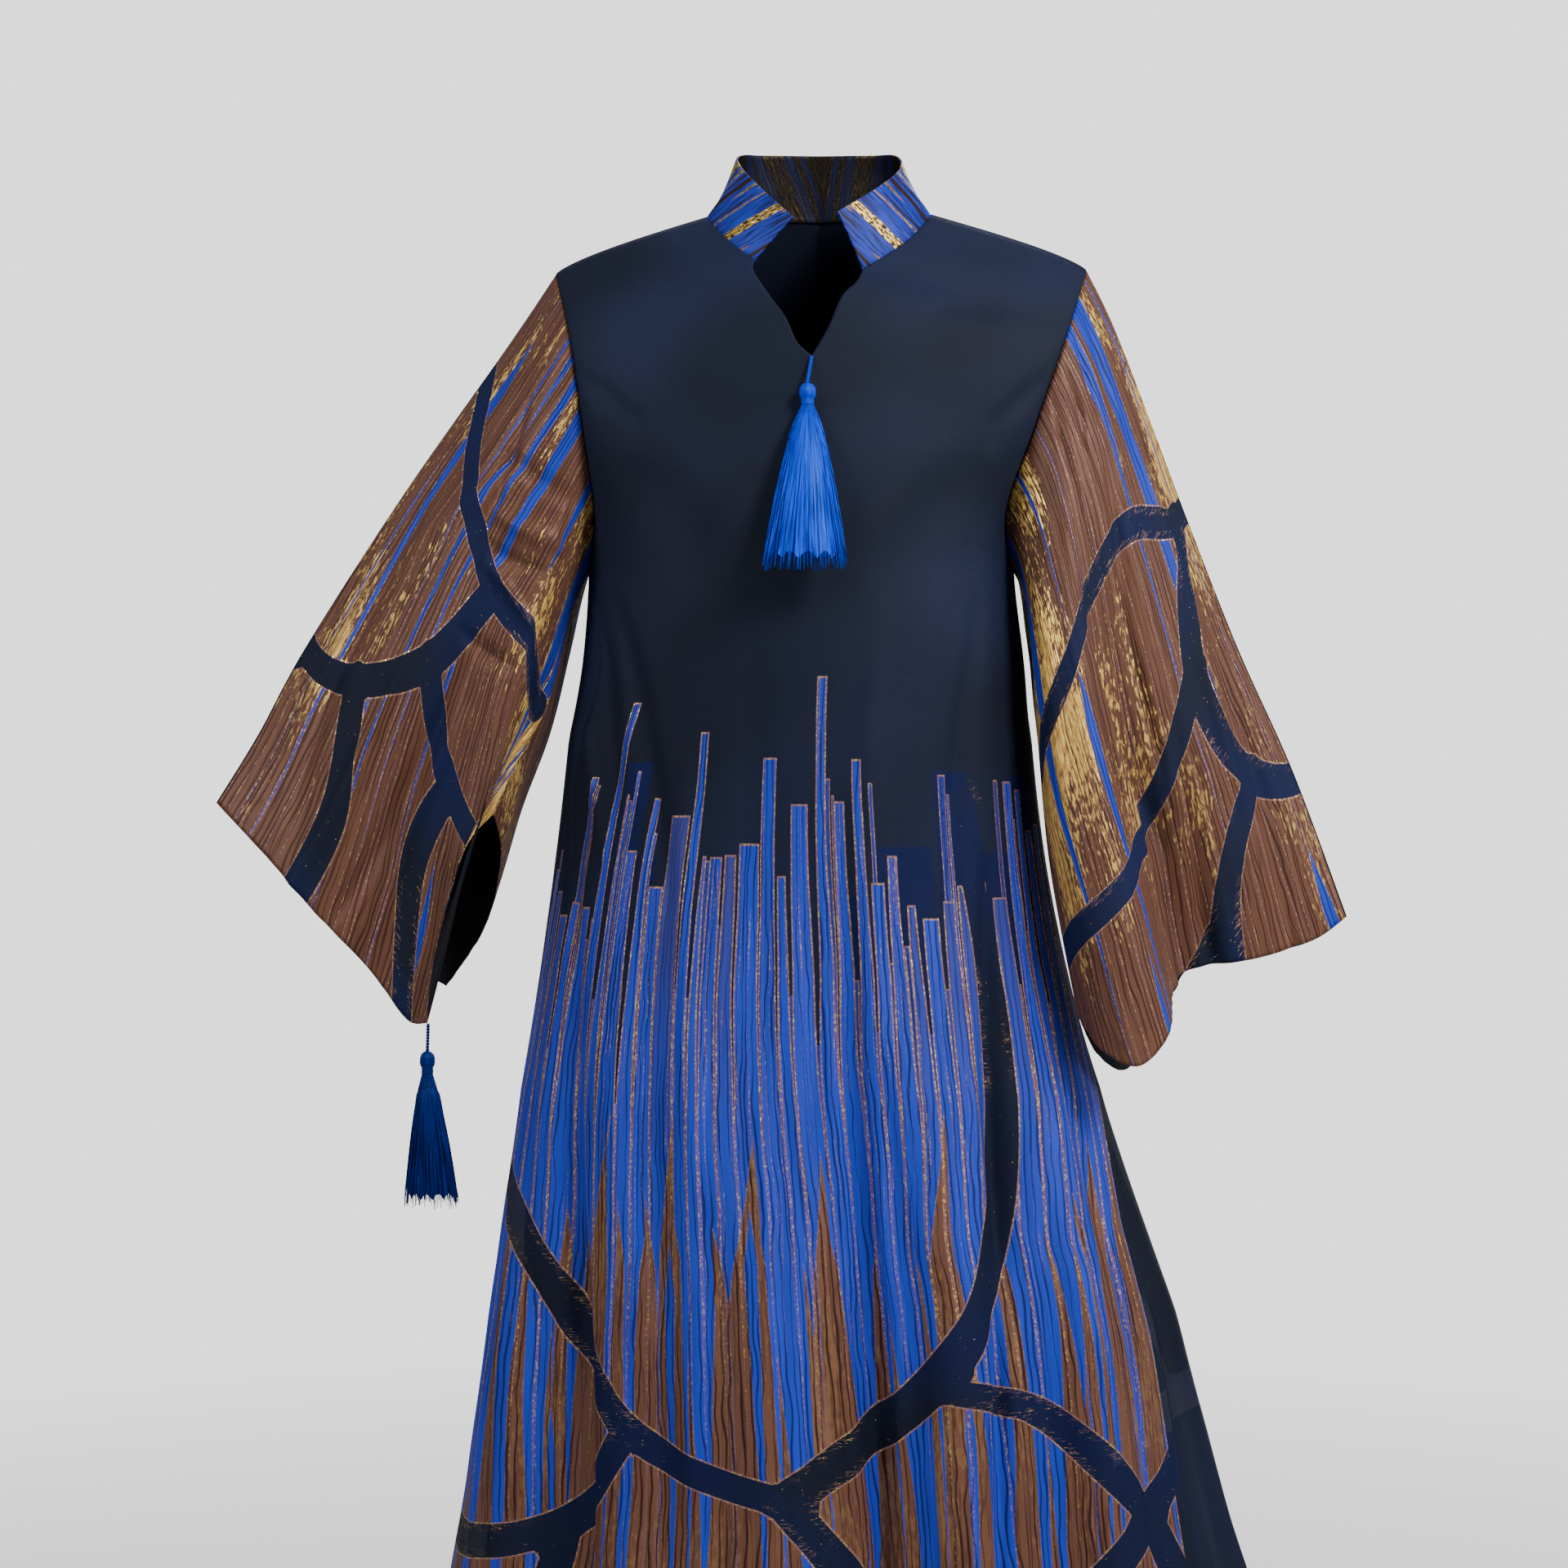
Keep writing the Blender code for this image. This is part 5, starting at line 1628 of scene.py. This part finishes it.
@dataclass(frozen=True)
class JacquardFinish:
    """Jacquard on a sheer ground; the reverse is black with the same clear places.

    The blue goes from its high to its low width between two heights on the cloth, in metres.
    """

    name: str
    seed: float
    skyline: float
    blue_high: float
    blue_low: float
    high: float
    low: float
    lurex: float
    furrows: float
    sheer_below: float
    sheer_alpha: float
    RELIEF = 0.0011
    SHEER_FADE = 0.30
    TURNING = (HEM * MM + 0.09, HEM * MM + 0.18, 0.96, 0.0)

    def figure(self, wire: Wiring, figure: bpy.types.NodeTree) -> bpy.types.NodeOutputs:
        """Places the woven figure in a material.

        Args:
            wire: The material's wiring.
            figure: The shared group.

        Returns:
            The group's outputs.
        """
        values = {"Cloth": wire.node("UVMap", uv_map="cloth").outputs["UV"]}
        for label in ("Figure", "Band"):
            values[label] = wire.read("Fac", "Attribute", attribute_name=label.lower())
        for label in WovenFigure.INPUTS[2:]:
            values[label] = getattr(self, label.lower().replace(" ", "_"))
        placed = wire.node("Group", node_tree=figure)
        wire.feed(placed, values)
        return placed.outputs

    def side(self, figure: bpy.types.NodeTree, kind: str) -> tuple:
        """Builds what the face and the reverse share.

        Args:
            figure: The shared group.
            kind: Which side of the cloth it is.

        Returns:
            The material, its wiring, its shader and the outputs of the woven figure.
        """
        material, wire, shader = new_material(f"{self.name}_{kind}")
        placed = self.figure(wire, figure)
        up = wire.cloth()[1]
        ground = up.span(self.sheer_below, self.sheer_below + self.SHEER_FADE, self.sheer_alpha, 1.0)
        closed = ground | up.span(*self.TURNING) | Signal(wire, placed["Woven"])
        wire.feed(shader, {"Alpha": closed})
        return material, wire, shader, placed

    def face(self, figure: bpy.types.NodeTree) -> bpy.types.Material:
        """Builds the face of the cloth.

        Args:
            figure: The shared group.

        Returns:
            The material.
        """
        material, wire, shader, placed = self.side(figure, "face")
        bump = {"Height": placed["Relief"], "Strength": 1.0, "Distance": self.RELIEF}
        looks = {
            "Base Color": placed["Colour"],
            "Metallic": placed["Metal"],
            "Roughness": placed["Rough"],
            "Normal": wire.read("Normal", "Bump", bump),
            "Specular IOR Level": 0.16,
            "Sheen Weight": 0.03,
            "Sheen Roughness": 0.35,
            "Sheen Tint": SHEEN_TINT,
        }
        wire.feed(shader, looks)
        return material

    def reverse(self, figure: bpy.types.NodeTree) -> bpy.types.Material:
        """Builds the reverse of the cloth.

        Args:
            figure: The shared group.

        Returns:
            The material.
        """
        material, wire, shader, placed = self.side(figure, "reverse")
        bump = {"Height": placed["Relief"], "Strength": 0.6, "Distance": self.RELIEF}
        looks = {
            "Base Color": wire.mix(placed["Woven"], GROUND, REVERSE),
            "Normal": wire.read("Normal", "Bump", bump),
            "Roughness": 0.62,
            "Specular IOR Level": 0.10,
        }
        wire.feed(shader, looks)
        return material


@dataclass(frozen=True)
class CollarFinish:
    """Blue jacquard with slanting gold stripes, mirrored about the middle of the back.

    The inner side is darker.
    """

    inside: bool

    def material(self) -> bpy.types.Material:
        """Builds the collar's cloth.

        Returns:
            The material.
        """
        material, wire, shader = new_material(f"collar_{'inside' if self.inside else 'face'}")
        across, up = wire.cloth()
        away = abs(across)
        slant, along = away * 0.97 - up * 0.25, up * 0.97 + away * 0.25
        bent = slant + (wire.grain(COLLAR_SWAY, slant, along) - 0.5) * 0.0018
        stripes = wire.grain(COLLAR_STRIPES, bent, along)
        gold = stripes.span(0.515, 0.530)
        rim = abs(stripes - 0.522).within(0.005, 0.012)
        ridge = wire.grain(COLLAR_RIDGES, bent, along)
        spark = wire.grain(COLLAR_SPARKS, bent, along).span(0.44, 0.60)
        # The blue is painted darker in the ridges' valleys, as painted shade that follows the bump; the
        # sparks fleck the gold stripes bright and dark, as painted glints.
        blue = wire.mix(ridge.span(0.35, 0.60), BLUE_SHADED, BLUE)
        colour = wire.mix(stripes.within(0.345, 0.355), blue, BRONZE_DEEP)
        colour = wire.mix(gold, colour, wire.mix(spark, BRONZE_DEEP, GOLD))
        colour = wire.mix(rim * 0.6, colour, COPPER)
        if self.inside:
            colour = wire.mix(0.94, colour, COLLAR_INSIDE)
        metal = gold * spark.span(0.0, 1.0, 0.25, 0.95)
        bump = {"Height": ridge + gold * 0.4, "Strength": 1.0, "Distance": 0.0007}
        looks = {
            "Base Color": colour,
            "Metallic": metal,
            "Roughness": metal.span(0.0, 1.0, 0.46, 0.28),
            "Normal": wire.read("Normal", "Bump", bump),
            "Specular IOR Level": 0.2,
        }
        wire.feed(shader, looks)
        return material


@dataclass(frozen=True)
class SatinFinish:
    """Plain satin with a fine weave, of a ground colour and a shine."""

    ground: tuple
    shine: tuple

    def material(self) -> bpy.types.Material:
        """Builds the lining's cloth.

        Returns:
            The material.
        """
        material, wire, shader = new_material("satin_lining")
        weave = wire.grain(SATIN_WEAVE, *wire.cloth())
        looks = {
            "Base Color": wire.mix(weave.span(0.3, 0.7, 0.0, 0.35), self.ground, self.shine),
            "Normal": wire.read("Normal", "Bump", {"Height": weave, "Strength": 0.5, "Distance": 0.0002}),
            "Roughness": 0.38,
            "Sheen Weight": 0.10,
        }
        wire.feed(shader, looks)
        return material


@dataclass(frozen=True)
class ThreadFinish:
    """Bright rayon thread, with fine upright strands and painted shade, a deeper colour, between them."""

    name: str
    bright: tuple
    deep: tuple

    def material(self) -> bpy.types.Material:
        """Builds the thread's material.

        Returns:
            The material.
        """
        material, wire, shader = new_material(self.name)
        # The deep colour between the strands is painted shade.
        hair = wire.grain(HAIR, *wire.cloth())
        looks = {
            "Base Color": wire.mix(hair.span(0.36, 0.62), self.deep, self.bright),
            "Normal": wire.read("Normal", "Bump", {"Height": hair, "Strength": 0.8, "Distance": 0.0006}),
            "Roughness": 0.34,
            "Specular IOR Level": 0.25,
            "Specular Tint": THREAD_TINT,
        }
        wire.feed(shader, looks)
        return material


class Studio:
    """Floor, soft lights and the camera at the photograph's angle."""

    FLOOR_HEIGHT = -1.52
    FLOOR_RADIUS = 60.0
    FLOOR_SHOWN = (1.1, 3.4)
    CAMERA_PLACE = (-0.025, -2.2, -0.457)
    LENS = 62.734
    SENSOR = 36.0
    PALE = (0.75, 0.75, 0.745, 1.0)
    STRENGTHS = (0.27, 2.55)
    MIDDLE = (0.0, 0.0, -0.6)
    LIGHTS = (
        ("key", (1.9, -2.0, 1.6), 0.9, 132.0, (1.0, 0.99, 0.97)),
        ("left_side", (-2.2, -1.8, 0.9), 1.1, 54.0, (0.97, 0.98, 1.0)),
        ("right_side", (2.5, -0.8, 0.6), 1.1, 28.0, (0.97, 0.98, 1.0)),
        ("behind", (0.4, 2.8, 1.3), 2.0, 40.0, (1.0, 1.0, 1.0)),
    )

    def surround_strength(self, wire: Wiring) -> Signal:
        """The surround is brighter where the camera sees it than it shines on the cloth."""
        return wire.read("Is Camera Ray", "LightPath").span(0.0, 1.0, *self.STRENGTHS)

    def floor(self) -> None:
        """Makes a wide pale floor under the hem, clear from below."""
        mesh = bmesh.new()
        bmesh.ops.create_circle(mesh, cap_ends=True, segments=96, radius=self.FLOOR_RADIUS)
        bmesh.ops.translate(mesh, verts=mesh.verts, vec=(0.0, 0.0, self.FLOOR_HEIGHT))
        bmesh.ops.reverse_faces(mesh, faces=[face for face in mesh.faces if face.normal.z < 0.0])
        data = bpy.data.meshes.new("floor")
        mesh.to_mesh(data)
        mesh.free()
        floor = link(bpy.data.objects.new("floor", data))
        material, wire, shader = new_material("pale_floor")
        wire.feed(shader, {"Base Color": self.PALE, "Roughness": 0.8})
        place = wire.node("TexCoord").outputs["Object"]
        far = wire.read("Value", "VectorMath", {0: place}, operation="LENGTH").span(*self.FLOOR_SHOWN)
        glow = wire.read(0, "Emission", {"Color": self.PALE, "Strength": self.surround_strength(wire)})
        blend = wire.read(0, "MixShader", {0: far, 1: shader.outputs[0], 2: glow})
        below = wire.read("Backfacing", "NewGeometry")
        shown = wire.read(0, "MixShader", {0: below, 1: blend, 2: wire.read(0, "BsdfTransparent")})
        wire.feed(material.node_tree.nodes["Material Output"], {"Surface": shown})
        data.materials.append(material)
        floor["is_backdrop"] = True

    def lights(self) -> None:
        """Adds soft square lights from above, both sides and behind, and a pale surround."""
        for name, place, size, power, colour in self.LIGHTS:
            data = bpy.data.lights.new(name, "AREA")
            data.size = size
            data.energy = power
            data.color = colour
            lamp = link(bpy.data.objects.new(name, data))
            lamp.location = place
            lamp.rotation_euler = (Vector(self.MIDDLE) - Vector(place)).to_track_quat("-Z", "Y").to_euler()
        world = bpy.data.worlds.new("surround")
        bpy.context.scene.world = world
        world.use_nodes = True
        wire = Wiring(world.node_tree)
        shine = {"Color": self.PALE, "Strength": self.surround_strength(wire)}
        wire.feed(world.node_tree.nodes["Background"], shine)

    def camera(self) -> None:
        """Sets the camera level, in front of the garment."""
        data = bpy.data.cameras.new("camera")
        data.lens = self.LENS
        data.sensor_width = self.SENSOR
        camera = link(bpy.data.objects.new("camera", data))
        camera.location = self.CAMERA_PLACE
        camera.rotation_euler = (math.pi / 2, 0.0, 0.0)
        bpy.context.scene.camera = camera


BODY_LOOKS = {
    "skyline": 1.0, "blue_high": 5.0, "blue_low": 1.20, "high": -0.42, "low": -1.15, "lurex": 0.15,
    "furrows": 0.95, "sheer_below": -0.60, "sheer_alpha": 0.72,
}
SLEEVE_LOOKS = {
    "skyline": 0.0, "blue_high": 1.60, "blue_low": 0.50, "high": -0.02, "low": -0.34, "lurex": 1.0,
    "furrows": 0.75, "sheer_below": -9.0, "sheer_alpha": 1.0,
}
BODY_ALIKE = {"columns": 288, "rows": 156, "thickness": 0.5, "fan": 0.75, "crinkle_depth": 0.75}
SLEEVE_ALIKE = {"columns": 144, "rows": 132, "thickness": 0.5, "fan": 0.6, "crinkle_depth": 0.7}
SleeveSide = namedtuple("SleeveSide", "name seed over under bands")
LEFT_SIDE = SleeveSide("left", 41.3, OVERARM_LEFT, UNDERARM_LEFT, LEFT_SLEEVE_BANDS)
RIGHT_SIDE = SleeveSide("right", 57.9, OVERARM_RIGHT, UNDERARM_RIGHT, RIGHT_SLEEVE_BANDS)
SleevePlan = namedtuple("SleevePlan", "side facing turned bulge armhole hem folds creases flat area")
SLEEVES = rows_of(
    SleevePlan,
    (
        LEFT_SIDE, Facing.FRONT, False, 16.0, ARMHOLE_FRONT_LEFT, HEM_FRONT_LEFT, FOLDS_FRONT_LEFT,
        LEFT_FRONT_CREASES, (0.33, 0.50), 0.105,
    ),
    (
        LEFT_SIDE, Facing.BACK, True, 14.0, ARMHOLE_BACK_LEFT, HEM_BACK_LEFT, FOLDS_BACK_LEFT,
        LEFT_BACK_CREASES, (0.36, 0.50), 0.118,
    ),
    (
        RIGHT_SIDE, Facing.FRONT, True, 16.0, ARMHOLE_FRONT_RIGHT, HEM_FRONT_RIGHT, FOLDS_FRONT_RIGHT,
        RIGHT_FRONT_CREASES, (0.34, 0.56), 0.122,
    ),
    (
        RIGHT_SIDE, Facing.BACK, False, 14.0, ARMHOLE_BACK_RIGHT, HEM_BACK_RIGHT, FOLDS_BACK_RIGHT,
        RIGHT_BACK_CREASES, (0.35, 0.56), 0.126,
    ),
)
TASSELS = rows_of(
    Tassel,
    ("chest_tassel", (-3.5, -104.9, -128.8), (-7, -116, -151), 6.3, 17, (-10, -156, -298), 31, 11, 3),
    ("sleeve_tassel", (-304.9, -50.5, -645.5), (-305.5, -50.8, -667), 5.9, 18, (-302, -50, -790), 21, 17, 8),
)


@dataclass
class Garment:
    """The whole abaya: its cloth shells, tassels and finishes."""

    figure: bpy.types.NodeTree
    pieces: int = 0

    def dress(self, piece: bpy.types.Object, *materials: bpy.types.Material) -> bpy.types.Object:
        """Gives a piece its materials and counts it.

        Args:
            piece: The piece.
            materials: Its materials, in the order of its slots.

        Returns:
            The piece.
        """
        for material in materials:
            piece.data.materials.append(material)
        self.pieces += 1
        LOG.info("built %s", piece.name)
        return piece

    def cloth(self, patch: ClothPatch, finish: JacquardFinish, flat: tuple, area: float) -> None:
        """Builds a jacquard shell; the cut's width and length, and its area, in metres, are given but not
        used.
        """
        piece = self.dress(patch.build(), finish.face(self.figure), finish.reverse(self.figure))

    def body(self) -> None:
        """Builds the front and the back."""
        front = BodyPanel(
            "front_cloth", "front_panel", "front_cloth", **BODY_ALIKE, creases=FRONT_CREASES,
            bands=FRONT_BANDS, seed=1.7, split_row=128, facing=Facing.FRONT,
            armholes=(ARMHOLE_FRONT_LEFT, ARMHOLE_FRONT_RIGHT),
            inner_edges=((CENTRE_FRONT, V_EDGE_LEFT, NECK_LEFT), (CENTRE_FRONT, V_EDGE_RIGHT, NECK_RIGHT)),
            inner_stops=(V_FOOT_SHARE, NECK_CORNER_SHARE, 1.0), plain_sides=((0.0, 0.0), (4.0, 16.0)),
        )
        back = BodyPanel(
            "back_cloth", "back_panel", "back_cloth", **BODY_ALIKE, creases=BACK_CREASES, bands=BACK_BANDS,
            seed=23.1, split_row=140, facing=Facing.BACK, armholes=(ARMHOLE_BACK_RIGHT, ARMHOLE_BACK_LEFT),
            inner_edges=((CENTRE_BACK, NECK_BACK_RIGHT), (CENTRE_BACK, NECK_BACK_LEFT)),
            inner_stops=(BACK_NECK_SHARE, 1.0), plain_sides=((10.0, 120.0), (34.0, 60.0)),
        )
        self.cloth(front, JacquardFinish("front", front.seed, **BODY_LOOKS), (1.02, 1.44), 0.95)
        self.cloth(back, JacquardFinish("back", back.seed, **BODY_LOOKS), (1.10, 1.46), 1.10)

    def sleeves(self) -> None:
        """Builds the four sleeve halves."""
        for plan in SLEEVES:
            side = plan.side
            node = f"sleeve_{side.name}_{plan.facing.name.lower()}"
            patch = SleeveHalf(
                f"{node}_cloth", node, "sleeve_cloth", **SLEEVE_ALIKE, creases=plan.creases, bands=side.bands,
                seed=side.seed, facing=plan.facing, armhole=plan.armhole, hem=plan.hem, over=side.over,
                under=side.under, folds=plan.folds, bulge=plan.bulge, turned=plan.turned,
            )
            finish = JacquardFinish(f"{side.name}_sleeve", side.seed, **SLEEVE_LOOKS)
            self.cloth(patch, finish, plan.flat, plan.area)

    def collar(self) -> None:
        """Builds the stand collar."""
        patch = Collar(
            "collar_cloth", "stand_collar", "collar_cloth", columns=192, rows=16, thickness=1.6,
            creases=COLLAR_CREASES, sewn=("bottom",), seam_dip=0.3, turned=True,
        )
        piece = self.dress(patch.build(), CollarFinish(False).material(), CollarFinish(True).material())
        edge = piece.modifiers.new("turned_edge", "BEVEL")
        edge.width = 0.00045
        edge.segments = 2
        edge.limit_method = "ANGLE"
        edge.angle_limit = math.radians(50)

    def lining(self) -> None:
        """Builds the slip."""
        patch = LiningSlip(
            "lining_cloth", "lining_slip", "lining", columns=224, rows=90, thickness=0.4,
            creases=SLIP_CREASES, sewn=("top",), seam_dip=0.0,
        )
        finish = SatinFinish(SATIN, SATIN_SHINE).material()
        piece = self.dress(patch.build(), finish, finish)

    def tassels(self) -> None:
        """Builds both tassels and their cords."""
        # The sleeve's tassel takes the darker thread, as painted shade under the sleeve.
        for tassel, colours in zip(TASSELS, THREAD_COLOURS):
            finish = ThreadFinish(*colours).material()
            self.dress(tassel.threads(), finish)
            self.dress(tassel.cord(), finish)


def box_list() -> list:
    """The shown object's box as plain lists."""
    bpy.context.view_layer.update()
    return [[float(value) for value in corner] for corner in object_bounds()]


def main() -> None:
    """Builds the garment and the studio, in order."""
    logging.basicConfig(level=logging.INFO)
    solid_box = box_list()
    garment = Garment(WovenFigure().build())
    garment.body()
    garment.sleeves()
    garment.collar()
    garment.lining()
    garment.tassels()
    studio = Studio()
    studio.floor()
    studio.lights()
    studio.camera()
    {"cad": solid_box, "visual": box_list()}
    LOG.info("%d pieces", garment.pieces)


if __name__ == "__main__":
    main()
